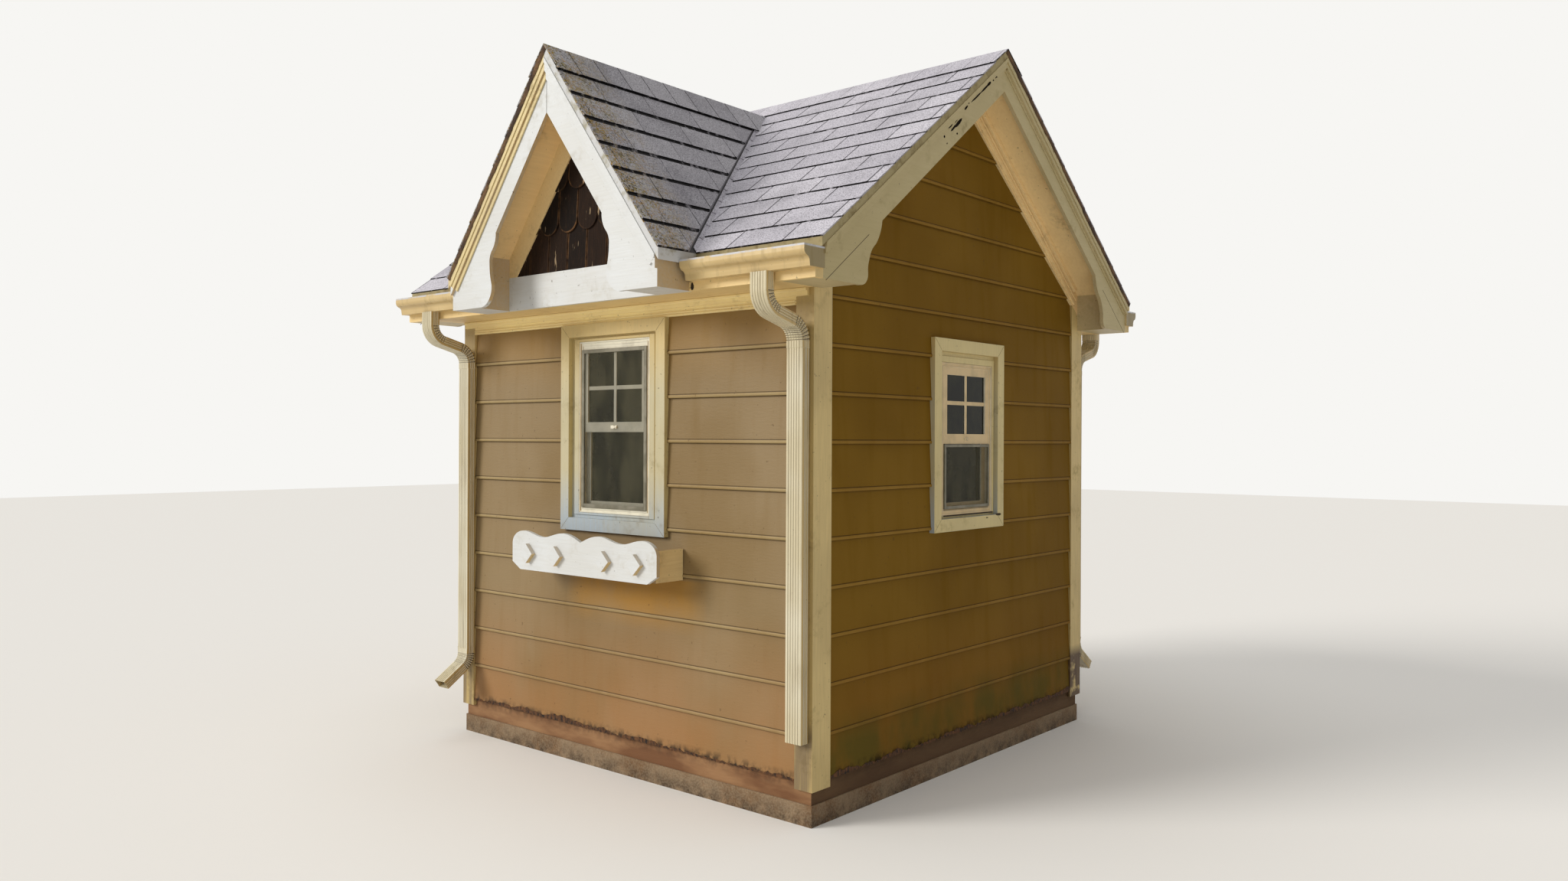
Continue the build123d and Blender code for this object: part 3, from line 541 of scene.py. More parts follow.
def beam(name, x, y, z, bevel=0.0015):
    """planed board or bar between limits on each axis, with eased edges"""
    bar = started(bpy.ops.mesh.primitive_cube_add, size=1)
    bar.name = name
    size = Vector((x[1] - x[0], y[1] - y[0], z[1] - z[0]))
    middle = Vector((x[0] + x[1], y[0] + y[1], z[0] + z[1])) / 2
    bar.data.transform(Matrix.Translation(middle) @ Matrix.Diagonal((*size, 1.0)))
    if bevel:
        modify(bar, "BEVEL", width=bevel, segments=2)
    return bar


def pick_edges(piece, wanted):
    """into edit mode, with only the edges selected whose two ends pass a test"""
    with edit_mode(piece, "DESELECT"):
        bpy.ops.mesh.select_mode(type="EDGE")
        bpy.ops.mesh.select_all(action="DESELECT")
    for edge in piece.data.edges:
        edge.select = wanted(*(piece.data.vertices[i].co for i in edge.vertices))
    bpy.ops.object.mode_set(mode="EDIT")


def mark(piece, name, value_of):
    """value on each face of a mesh, read by its material"""
    values = piece.data.attributes.new(name, "FLOAT", "FACE")
    for face, item in zip(piece.data.polygons, values.data):
        item.value = value_of(face)


def mark_tone(piece, least=0.0):
    """shade of its own on a shingle"""
    tone = random.uniform(least, 1.0)
    mark(piece, "tone", lambda face: tone)


# share of the lower-edge mark on cut faces: painted shade on the asphalt shingles and caps, a little worn rim
# colour on the cedar
CUT_SHADE = 0.2


def trimmed(piece, cuts):
    """what is left of a piece inside planes, or nothing when all of it lies outside one"""
    for point, normal in cuts:
        point, normal = Vector(point), Vector(normal).normalized()
        depths = [(vertex.co - point).dot(normal) for vertex in piece.data.vertices]
        if min(depths) > -1e-5:
            bpy.data.objects.remove(piece)
            return None
        if max(depths) > 1e-5:
            cut_away(piece, point, normal)
            for face in piece.data.polygons:
                if abs(face.normal.dot(normal)) > 0.999 and abs((face.center - point).dot(normal)) < 1e-4:
                    piece.data.attributes["butt"].data[face.index].value = CUT_SHADE
    return piece


# The roof: heights of the ridges, slopes, and where the slopes end
MAIN_RIDGE, MAIN_SLOPE = 3.472, 0.764
FRONT_RIDGE, FRONT_SLOPE = 3.368, 1.321
MAIN_PITCH, FRONT_PITCH = math.atan(MAIN_SLOPE), math.atan(FRONT_SLOPE)
EAVE, RAKE, FRONT_EDGE = 1.425, 1.430, 1.652
VALLEY_TOP = (MAIN_RIDGE - FRONT_RIDGE) / MAIN_SLOPE
VALLEY_FOOT = (MAIN_SLOPE * EAVE - (MAIN_RIDGE - FRONT_RIDGE)) / FRONT_SLOPE
MAIN_EAVE_LEVEL = MAIN_RIDGE - MAIN_SLOPE * EAVE
FRONT_EAVE_LEVEL = FRONT_RIDGE - FRONT_SLOPE * VALLEY_FOOT

# The shingles: a tab's width, thickness and lap, its slot and the black band of painted shadow and dirt just
# below the next course's butt
TAB_WIDTH, TAB_THICKNESS, TAB_LAP, TAB_GAP = 0.305, 0.0032, 0.015, 0.001
TAB_CORNER, TAB_DIP = 0.009, 0.002
# share of painted shade on the slot sides of a tab
SLOT_SHADE = 0.75
JITTER = 0.002
MAIN_CURL = 0.0008
CURL_SHARE = 0.4
MAIN_COURSES, FRONT_COURSES = 12, 8
MAIN_TAB = {"exposure": EAVE / math.cos(MAIN_PITCH) / MAIN_COURSES, "butt": 0.0034, "stain": 0.006,
            "slot": 0.004}
FRONT_TAB = {"exposure": VALLEY_FOOT / math.cos(FRONT_PITCH) / FRONT_COURSES, "butt": 0.006, "stain": 0.016,
             "slot": 0.002}


def shingle_tab(exposure, butt, stain, slot):
    """one tab of a three-tab shingle: a wedge that lies on the roof, thickest at its rounded lower
    corners, with half a slot down each side"""
    tab = started(bpy.ops.mesh.primitive_cube_add, size=1)
    length = exposure + TAB_LAP
    inside = TAB_WIDTH / 2 - slot
    tab.data.transform(Matrix.Translation((0, length / 2, 0))
                       @ Matrix.Diagonal((TAB_WIDTH - TAB_GAP, length, TAB_THICKNESS, 1.0)))
    pick_edges(tab, lambda a, b: max(a.y, b.y) < 0.001 and abs(a.z - b.z) > 0.001)
    bpy.ops.mesh.bevel(offset=TAB_CORNER, segments=3)
    for place, normal in (((0, exposure - stain, 0), (0, 1, 0)), ((inside, 0, 0), (1, 0, 0)),
                          ((-inside, 0, 0), (1, 0, 0))):
        bpy.ops.mesh.select_all(action="SELECT")
        bpy.ops.mesh.bisect(plane_co=place, plane_no=normal)
    bpy.ops.object.mode_set(mode="OBJECT")
    for vertex in tab.data.vertices:
        if vertex.co.z > 0:
            vertex.co.z += butt * (1 - vertex.co.y / exposure) - TAB_DIP * (abs(vertex.co.x) > inside + 0.0005)
    # marked black: the butt face and the band below the next course's butt, painted shadow with dirt; the slot
    # sides take SLOT_SHADE of it as painted shade
    mark(tab, "butt", lambda face: 1.0 if face.normal.y < -0.4 or face.center.y > exposure - stain
         else SLOT_SHADE * (abs(face.center.x) > inside))
    return tab


def shingle_slope(name, corner, along, up, run, courses, form, cuts, material, shift, curl):
    """courses of tabs laid up a slope from its lower corner, trimmed by planes"""
    along, up = Vector(along).normalized(), Vector(up).normalized()
    slope = Matrix((along, up, along.cross(up))).transposed().to_4x4()
    slope.translation = Vector(corner)
    tab = shingle_tab(**form)
    exposure = form["exposure"]
    tabs = []
    for course in range(courses):
        place = shift + (course % 2) * TAB_WIDTH / 2 - TAB_WIDTH
        while place < run + TAB_WIDTH:
            local = Matrix.Translation((place, course * exposure + random.uniform(-JITTER, JITTER),
                                        TAB_THICKNESS / 2))
            piece = copy_at(tab, Matrix.Identity(4))
            curls = [random.uniform(0, curl), random.uniform(0, curl)]
            for vertex in piece.data.vertices:
                rise = max(0.0, 1 - vertex.co.y / (CURL_SHARE * exposure)) * (vertex.co.z > 0)
                vertex.co.z += rise * curls[0 if vertex.co.x < 0 else 1]
            piece.data.transform(slope @ local)
            mark_tone(piece)
            tabs.append(trimmed(piece, cuts))
            place += TAB_WIDTH
    bpy.data.objects.remove(tab)
    settle(join(tabs, name), name, material)


# The ridge caps: how far one reaches down each side, its lap, spacing, band of painted shadow and dirt, and
# thickness
CAP_REACH, CAP_LAP, CAP_SPACING, CAP_SHADOW_AND_DIRT, CAP_THICKNESS = 0.1636, 0.020, 0.15, 0.004, 0.0045
CAP_CLEARANCE, CAP_BUTT = 0.0004, 0.0006
RIDGE_TRIM = CAP_REACH - CAP_LAP
WEAVE, WEAVE_SHARE, WEAVE_LAP, WEAVE_BUTT, WEAVE_THICKNESS = 0.022, 0.94, 0.02, 0.004, 0.003
RAKE_CUTS = [((RAKE, 0, 0), (1, 0, 0)), ((-RAKE, 0, 0), (-1, 0, 0))]
FRONT_CUT = ((0, -FRONT_EDGE, 0), (0, -1, 0))
MAIN_TOP, FRONT_TOP = Vector((0, 0, MAIN_RIDGE)), Vector((0, 0, FRONT_RIDGE))
FRONT_UP = Vector((0, math.cos(MAIN_PITCH), math.sin(MAIN_PITCH)))
BACK_UP = Vector((0, -math.cos(MAIN_PITCH), math.sin(MAIN_PITCH)))


def valley_plane(side, shift=0.0):
    """point and normal of the upright plane along a valley, the normal towards the front gable"""
    normal = Vector((-side * (EAVE - VALLEY_TOP), -VALLEY_FOOT, 0)).normalized()
    return Vector((0, -VALLEY_TOP, 0)) + normal * shift, normal


shingle_slope("shingles_back", (RAKE, EAVE, MAIN_EAVE_LEVEL), (-1, 0, 0), BACK_UP, 2 * RAKE, MAIN_COURSES,
              MAIN_TAB, RAKE_CUTS + [(MAIN_TOP - BACK_UP * RIDGE_TRIM, BACK_UP)], SHINGLES, 0.1, MAIN_CURL)
for hand, name, worn_curl in ((1, "right", 0.002), (-1, "left", 0.0003)):
    cuts = RAKE_CUTS + [(MAIN_TOP - FRONT_UP * RIDGE_TRIM, FRONT_UP), valley_plane(hand)]
    shingle_slope("shingles_front_" + name, (min(0, hand * RAKE), -EAVE, MAIN_EAVE_LEVEL), (1, 0, 0), FRONT_UP,
                  RAKE, MAIN_COURSES, MAIN_TAB, cuts, SHINGLES, 0.16, MAIN_CURL)
    gable_up = Vector((-hand * math.cos(FRONT_PITCH), 0, math.sin(FRONT_PITCH)))
    point, normal = valley_plane(hand, WEAVE)
    shingle_slope("gable_shingles_" + name,
                  (hand * VALLEY_FOOT, -FRONT_EDGE if hand > 0 else 0, FRONT_EAVE_LEVEL),
                  (0, hand, 0), gable_up, FRONT_EDGE, FRONT_COURSES, FRONT_TAB,
                  [FRONT_CUT, (point, -normal), (FRONT_TOP - gable_up * RIDGE_TRIM, gable_up)],
                  SHINGLES_MOSSY, 0.05, worn_curl)


def welded_copy(node):
    """copy of a node's solid, with its faces joined along their edges"""
    piece = copy_at(NODES[node], Matrix.Identity(4))
    only(piece)
    bpy.ops.mesh.customdata_custom_splitnormals_clear()
    with edit_mode(piece):
        bpy.ops.mesh.remove_doubles(threshold=1e-6)
    return piece


# How far the roof boards stay behind the ends of their shingles
SETBACK = 0.0055
SIDE_SETBACK = [((RAKE - SETBACK, 0, 0), (1, 0, 0)), ((SETBACK - RAKE, 0, 0), (-1, 0, 0))]
FRONT_SETBACK = [((0, SETBACK - FRONT_EDGE, 0), (0, -1, 0))]
for node, finish, cuts in (("main_roof_back", DECK, SIDE_SETBACK),
                           ("main_roof_front_right", DECK_KHAKI, SIDE_SETBACK),
                           ("main_roof_front_left", DECK_KHAKI, SIDE_SETBACK),
                           ("front_roof_right", DECK_WHITE, FRONT_SETBACK),
                           ("front_roof_left", DECK, FRONT_SETBACK)):
    boards = welded_copy(node)
    for point, normal in cuts:
        cut_away(boards, point, normal)
    only(boards)
    bpy.ops.object.shade_flat()
    settle(boards, node + "_boards", finish)
    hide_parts(node)


def cap_shingle(name, pitch, edge_lift):
    """one cap shingle bent over a ridge that runs along X, thickest at its butt end"""
    length = CAP_SPACING + CAP_LAP
    shadow_and_dirt_from = length / 2 - CAP_LAP - CAP_SHADOW_AND_DIRT
    cap = started(bpy.ops.mesh.primitive_cube_add, size=1)
    cap.name = name
    cap.data.transform(Matrix.Diagonal((length, 2 * CAP_REACH, CAP_THICKNESS, 1.0)))
    with edit_mode(cap):
        bpy.ops.mesh.bisect(plane_co=(0, 0, 0), plane_no=(0, 1, 0))
        bpy.ops.mesh.select_all(action="SELECT")
        bpy.ops.mesh.bisect(plane_co=(shadow_and_dirt_from, 0, 0), plane_no=(1, 0, 0))
    # the butt end, the sides and the band under the next cap are black: painted shadow with dirt
    mark(cap, "butt", lambda face: float(face.normal.x < -0.4 or abs(face.normal.y) > 0.4
                                         or face.center.x > shadow_and_dirt_from))
    for vertex in cap.data.vertices:
        reach = abs(vertex.co.y)
        butt = 0.5 - vertex.co.x / length
        height = (vertex.co.z + CAP_THICKNESS / 2 + CAP_CLEARANCE + butt * CAP_BUTT
                  + edge_lift * reach / CAP_REACH)
        turn = reach * math.cos(pitch) + height * math.sin(pitch) * min(1, reach * 100)
        on_ridge = reach <= 0.001
        vertex.co.y = 0 if on_ridge else math.copysign(turn, vertex.co.y)
        vertex.co.z = height * (1 / math.cos(pitch) if on_ridge else math.cos(pitch)) - reach * math.sin(pitch)
    return cap


def ridge_run(name, pitch, start, end, place, node, material, cuts, edge_lift):
    """cap shingles lapped along a ridge"""
    cap = cap_shingle(name, pitch, edge_lift)
    caps = []
    while start < end:
        piece = copy_at(cap, place @ Matrix.Translation((start + CAP_SPACING / 2, 0, 0)))
        mark_tone(piece)
        caps.append(trimmed(piece, cuts))
        start += CAP_SPACING
    bpy.data.objects.remove(cap)
    run = settle(join(caps, name), name, material)
    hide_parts(node)


ridge_run("main_ridge_caps", MAIN_PITCH, -RAKE, RAKE, Matrix.Translation(MAIN_TOP), "main_ridge_cap",
          SHINGLES, RAKE_CUTS, 0.006)
ridge_run("front_ridge_caps", FRONT_PITCH, -FRONT_EDGE, -0.1,
          Matrix.Translation(FRONT_TOP) @ Matrix.Rotation(math.pi / 2, 4, "Z"), "front_ridge_cap",
          SHINGLES_MOSSY, [FRONT_CUT, (MAIN_TOP + Vector((0, -0.002, 0)), (0, MAIN_SLOPE, 1))], 0.009)

# The walls: sheathing and trim faces, what the siding stops against, and the outlines ((x, x), (z, z)) on them
SHEATHING = 1.206
SIDING_FOOT, FRIEZE_FOOT = 0.180, 2.158
FRONT_SKIN, SIDE_SKIN = 1.130, 1.103
RAKE_FRIEZE_LOW = MAIN_RIDGE - (0.122 + 0.089) / math.cos(MAIN_PITCH)
CASING_FRONT, CASING_SIDE = ((-0.381, 0.361), (1.148, 2.158)), ((-0.334, 0.314), (1.162, 2.083))
UNIT_FRONT, UNIT_SIDE = ((-0.261, 0.241), (1.236, 2.074)), ((-0.245, 0.225), (1.238, 1.972))
DOOR_CASING = ((-0.470, 0.470), (0.180, 2.119))
FLOWER_BOX = ((-0.517, 0.467), (0.954, 1.102))
LOWER_FACE = SHEATHING + 0.0136
BEAD_HEIGHT, BEAD_DEPTH, BEAD_LEAST = 0.014, 0.0034, 0.01


def left_side(outline):
    """outline on the left wall, which mirrors the right one"""
    return ((-outline[0][1], -outline[0][0]), outline[1])


def open_runs(half_run, height, gaps):
    """stretches of a wall at a height, between the gaps that cross it"""
    runs = [(-half_run, half_run)]
    for across, levels in gaps:
        if levels[0] - BEAD_HEIGHT < height < levels[1]:
            runs = [(low, high) for start, end in runs
                    for low, high in ((start, min(end, across[0])), (max(start, across[1]), end))
                    if high - low > BEAD_LEAST]
    return runs


def bead(run, height):
    """rounded bead along the lower edge of a siding board"""
    rod = started(bpy.ops.mesh.primitive_cylinder_add, vertices=10, radius=0.5, depth=1, end_fill_type="NGON")
    middle = Vector(((run[0] + run[1]) / 2, -LOWER_FACE, height + BEAD_HEIGHT / 2))
    size = Matrix.Diagonal((run[1] - run[0], 2 * BEAD_DEPTH, BEAD_HEIGHT, 1.0))
    rod.data.transform(Matrix.Translation(middle) @ size @ Matrix.Rotation(math.pi / 2, 4, "Y"))
    return rod


def siding_beads(side, half_run, top, gaps, material, slope=0.0):
    """beads of every siding board on a wall, cut off along the rakes of a gable"""
    rods = []
    level = FIRST_LAP
    while level < top - BEAD_HEIGHT:
        reach = half_run if not slope else min(half_run, (top - level - BEAD_HEIGHT) / slope)
        rods += [bead(run, level) for run in open_runs(reach, level, gaps)]
        level += LAP
    beads = join(rods, "siding_beads_" + side)
    only(beads)
    bpy.ops.object.shade_smooth_by_angle(angle=math.radians(50))
    settle(beads, "siding_beads_" + side, material, side)


siding_beads("front", FRONT_SKIN, FRIEZE_FOOT, [CASING_FRONT, FLOWER_BOX], BEAD)
siding_beads("back", FRONT_SKIN, FRIEZE_FOOT, [DOOR_CASING], BEAD)
siding_beads("right", SIDE_SKIN, RAKE_FRIEZE_LOW, [CASING_SIDE], BEAD_MOSSY, MAIN_SLOPE)
siding_beads("left", SIDE_SKIN, RAKE_FRIEZE_LOW, [left_side(CASING_SIDE)], BEAD_MOSSY, MAIN_SLOPE)


# The rot along the siding's foot: its face, and how high the tears reach on average and at least
ROT_FACE = SHEATHING + 0.0148
TEAR_START, TEAR_MEAN, TEAR_LEAST, TEAR_PULL, TEAR_STEP = 0.008, 0.012, 0.002, 0.14, (-0.006, 0.0062)


def ragged_strip(side, half_run, seed, deep):
    """crumbled lower edge of the lowest siding board, as a torn strip of wood fibre"""
    columns = 180
    strip = started(bpy.ops.mesh.primitive_grid_add, x_subdivisions=columns, y_subdivisions=2, size=1)
    noise = random.Random(seed)
    tears = [TEAR_START]
    for column in range(columns):
        pull = TEAR_PULL * (TEAR_MEAN - tears[-1])
        tears.append(max(TEAR_LEAST, min(deep, tears[-1] + pull + noise.uniform(*TEAR_STEP))))
    for vertex in strip.data.vertices:
        column = round((vertex.co.x + 0.5) * columns)
        share = vertex.co.y + 0.5
        top = tears[min(column, columns)]
        bottom = -0.004 + 0.006 * abs(math.sin(column * 1.7))
        vertex.co = (vertex.co.x * 2 * half_run, -ROT_FACE + 0.001 * abs(share - 0.5),
                     SIDING_FOOT + bottom + share * (top - bottom))
    modify(strip, "SOLIDIFY", thickness=0.002, offset=0)
    settle(strip, "siding_rot_" + side, ROT, side)


ragged_strip("front", FRONT_SKIN, 3, 0.045)
ragged_strip("right", SIDE_SKIN, 5, 0.04)
ragged_strip("left", SIDE_SKIN, 8, 0.03)


def window_frame(outer, inner, depth, name, bevel=0.001):
    """four bars around an opening; outer and inner are outlines, depth is (back, face)"""
    y = (-depth[1], -depth[0])
    bars = [beam(name, (outer[0][0], inner[0][0]), y, outer[1], bevel),
            beam(name, (inner[0][1], outer[0][1]), y, outer[1], bevel),
            beam(name, inner[0], y, (inner[1][1], outer[1][1]), bevel),
            beam(name, inner[0], y, (outer[1][0], inner[1][0]), bevel)]
    return join(bars, name)


def shrunk(outline, by, below=None, above=None):
    """outline drawn in on each side"""
    below = by if below is None else below
    above = by if above is None else above
    return ((outline[0][0] + by, outline[0][1] - by), (outline[1][0] + below, outline[1][1] - above))


# The windows: faces, widths of casing and glass edge, glazing bars, and the screens
UNIT_FACE = SHEATHING + 0.007
UNIT_BACK = UNIT_FACE - 0.002
CASING_WIDTH, CASING_FACE = 0.061, SHEATHING + 0.032
GLASS_SET, RAIL_HALF = 0.058, 0.024
BAR_HALF, BAR_BACK, BAR_FACE, BAR_EASE = 0.0095, UNIT_FACE - 0.0085, UNIT_FACE - 0.0045, 0.0012
SCREEN_FACE, SCREEN_DEPTH, SCREEN_SAG = UNIT_FACE + 0.0005, 0.008, 0.0016


def window_bars(unit, side, level):
    """glazing bars of the upper sash, one upright and one level"""
    glass = shrunk(unit, GLASS_SET)
    rail = (unit[1][0] + unit[1][1]) / 2 + RAIL_HALF
    centre = (glass[0][0] + glass[0][1]) / 2
    bars = [beam("bar", (centre - BAR_HALF, centre + BAR_HALF), (-BAR_FACE, -BAR_BACK), (rail, glass[1][1]),
                 BAR_EASE),
            beam("bar", glass[0], (0.0006 - BAR_FACE, -BAR_BACK), (level - BAR_HALF, level + BAR_HALF),
                 BAR_EASE)]
    settle(join(bars, "bars"), "window_bars_" + side, VINYL, side)


def insect_screen(outline, bar_width, side):
    """grey screen frame with its mesh"""
    bars = window_frame(outline, shrunk(outline, bar_width), (SCREEN_FACE, SCREEN_FACE + SCREEN_DEPTH),
                        "screen", BAR_EASE)
    settle(bars, "screen_frame_" + side, SCREEN_FRAME, side)
    (left, right), (low, high) = shrunk(outline, bar_width - 0.002)
    cloth = started(bpy.ops.mesh.primitive_grid_add, x_subdivisions=6, y_subdivisions=12, size=1)
    for vertex in cloth.data.vertices:
        x, z = vertex.co.x + 0.5, vertex.co.y + 0.5
        sag = SCREEN_SAG * math.sin(math.pi * x) * math.sin(math.pi * z)
        vertex.co = (left + x * (right - left), sag - (SCREEN_FACE + SCREEN_DEPTH / 2), low + z * (high - low))
    settle(cloth, "screen_mesh_" + side, SCREEN_MESH, side)


def sash_lock(x, z, side):
    """cam lock on the meeting rail: a base plate, a round cam and its lever"""
    face = UNIT_FACE - 0.001
    base = beam("lock", (x - 0.022, x + 0.022), (-(face + 0.006), -face), (z - 0.008, z + 0.008), 0.002)
    cam = started(bpy.ops.mesh.primitive_cylinder_add, vertices=16, radius=0.009, depth=0.006,
                  location=(x, -(face + 0.008), z), rotation=(math.pi / 2, 0, 0))
    bpy.ops.object.transform_apply(location=True, rotation=True, scale=True)
    lever = beam("lock", (x, x + 0.026), (-(face + 0.012), -(face + 0.007)), (z - 0.003, z + 0.003), 0.001)
    settle(join([base, cam, lever], "lock"), "sash_lock_" + side, VINYL, side)


JOINT_DEPTH = 0.0004


def mitre_lines(outline, side):
    """thin dark open joints where the casing boards meet at the corners"""
    lines = []
    for across, x_sign in ((outline[0][0], 1), (outline[0][1], -1)):
        for level, z_sign in ((outline[1][0], 1), (outline[1][1], -1)):
            line = beam("joint", (0.003, CASING_WIDTH * math.sqrt(2) - 0.003), (-JOINT_DEPTH, JOINT_DEPTH),
                        (-0.0006, 0.0006), 0)
            line.data.transform(Matrix.Translation((across, -CASING_FACE, level))
                                @ Matrix.Rotation(-math.atan2(z_sign, x_sign), 4, "Y"))
            lines.append(line)
    settle(join(lines, "joints"), "casing_joints_" + side, JOINT_WORN, side)


def unit_lips(unit, side):
    """raised outer lip and inner stop of the vinyl frame"""
    outer = window_frame(shrunk(unit, 0.001), shrunk(unit, 0.007), (UNIT_BACK, UNIT_FACE + 0.006), "lip")
    inner = window_frame(shrunk(unit, 0.0165), shrunk(unit, 0.0215), (UNIT_BACK, UNIT_FACE + 0.003), "lip")
    settle(join([outer, inner], "lips"), "window_lips_" + side, VINYL, side)


def stop_strips(casing, unit, side):
    """second board of the recess between casing and frame, which leaves a step along each jamb"""
    opening = shrunk(casing, CASING_WIDTH)
    step = ((unit[0][0] - 0.6 * (unit[0][0] - opening[0][0]), unit[0][1] + 0.6 * (opening[0][1] - unit[0][1])),
            (unit[1][0] - 0.4 * (unit[1][0] - opening[1][0]), unit[1][1] + 0.6 * (opening[1][1] - unit[1][1])))
    strips = window_frame(step, unit, (UNIT_BACK, UNIT_FACE + 0.0075), "stops", 0.002)
    settle(strips, "window_stops_" + side, TRIM_CASING, side)


for side, casing, unit, bar_level in (("front", CASING_FRONT, UNIT_FRONT, 1.845),
                                      ("right", CASING_SIDE, UNIT_SIDE, 1.779),
                                      ("left", left_side(CASING_SIDE), left_side(UNIT_SIDE), 1.779)):
    window_bars(unit, side, bar_level)
    unit_lips(unit, side)
    stop_strips(casing, unit, side)
    mitre_lines(casing, side)
    rail = (unit[1][0] + unit[1][1]) / 2
    sash_lock((unit[0][0] + unit[0][1]) / 2, rail, side)
    if side == "front":
        insect_screen(shrunk(unit, 0.019, 0.026, 0.040), 0.018, side)
    else:
        insect_screen(shrunk((unit[0], (unit[1][0], rail - RAIL_HALF)), 0.026, 0.030, 0.002), 0.014, side)

# The downspouts: section, path and folds of the elbows
PIPE_WIDTH, PIPE_DEPTH, PIPE_CORNER, PIPE_WALL = 0.090, 0.052, 0.006, 0.0016
PIPE_X, PIPE_Y, OUTLET_Y = 1.163, -1.251, -1.477
GUTTER_FOOT, OUTLET_DROP, SHORT_FOOT = 2.262, 0.135, 0.352
ELBOW_RADIUS, ELBOW_TURN = 0.085, math.radians(75)
SHOE_TURN, SHOE_REACH, SHOE_DROP, SHOE_NECK = 0.392, 0.150, 0.105, 0.03
FLUTE_DEPTH, FLUTE_FOOT_HALF, FLUTE_TOP_HALF, CHAMFER = 0.0028, 0.0042, 0.0014, 0.0018
FOLDS, PINCH, FOLD_FROM, SLIP, NECK = 8, 0.0034, 0.036, 0.0024, 0.026
FLUTE_DIRT_AND_SHADE = 0.38


def fluted_side(half, flutes):
    """one side of the pipe, as places along it and depths"""
    reach = half - PIPE_CORNER
    spots = [(-reach, 0.0)]
    for k in range(flutes):
        middle = (k - (flutes - 1) / 2) * 2 * reach / (flutes + 0.6)
        spots += [(middle - FLUTE_FOOT_HALF, 0.0), (middle - FLUTE_TOP_HALF, FLUTE_DEPTH),
                  (middle + FLUTE_TOP_HALF, FLUTE_DEPTH), (middle + FLUTE_FOOT_HALF, 0.0)]
    return spots + [(reach, 0.0)]


def fluted_outline():
    """rectangular outline of the pipe with blunt corners and pressed flutes, as points"""
    x, y = PIPE_WIDTH / 2, PIPE_DEPTH / 2
    wide, narrow = fluted_side(x, 5), fluted_side(y, 3)
    points = [(across, -y + dip) for across, dip in wide] + [(x - CHAMFER, -y + CHAMFER)]
    points += [(x - dip, across) for across, dip in narrow] + [(x - CHAMFER, y - CHAMFER)]
    points += [(-across, y - dip) for across, dip in wide] + [(-x + CHAMFER, y - CHAMFER)]
    return points + [(-x + dip, -across) for across, dip in narrow] + [(-x + CHAMFER, -y + CHAMFER)]


def along_bend(spot, bend):
    """how many rings round an elbow a place is, and how near its hollow side, or nothing off the elbow"""
    centre, spoke, turn = bend
    arm = Vector((0, spot.y - centre.y, spot.z - centre.z))
    step = math.atan2(spoke.y * arm.z - spoke.z * arm.y, spoke.y * arm.y + spoke.z * arm.z) / turn * 4 * FOLDS
    if not 0.02 < arm.length < 0.16 or not -0.01 < step < 4 * FOLDS + 0.01:
        return None
    inner = 1 - max(0.0, min(1.0, (arm.length - ELBOW_RADIUS + PIPE_DEPTH / 2) / PIPE_DEPTH))
    return step, inner, arm.normalized()


def crimp(pipe, bends):
    """press the folds into the elbows, rings two and three of every four, deepest on the hollow side"""
    for bend in bends:
        outward = bend[2] > 0
        for vertex in pipe.data.vertices:
            found = along_bend(vertex.co, bend)
            if found and round(found[0]) % 4 in (1, 2):
                inner = found[1]
                pinch = PINCH * (0.25 + 0.75 * inner if outward else 0.8)
                sideways = vertex.co.x - PIPE_X
                vertex.co.x -= math.copysign(min(pinch, abs(sideways)), sideways) * (abs(sideways) > FOLD_FROM)
                if inner > 0.97:
                    vertex.co += found[2] * pinch
                elif inner < 0.03 and not outward:
                    vertex.co -= found[2] * pinch * 0.5


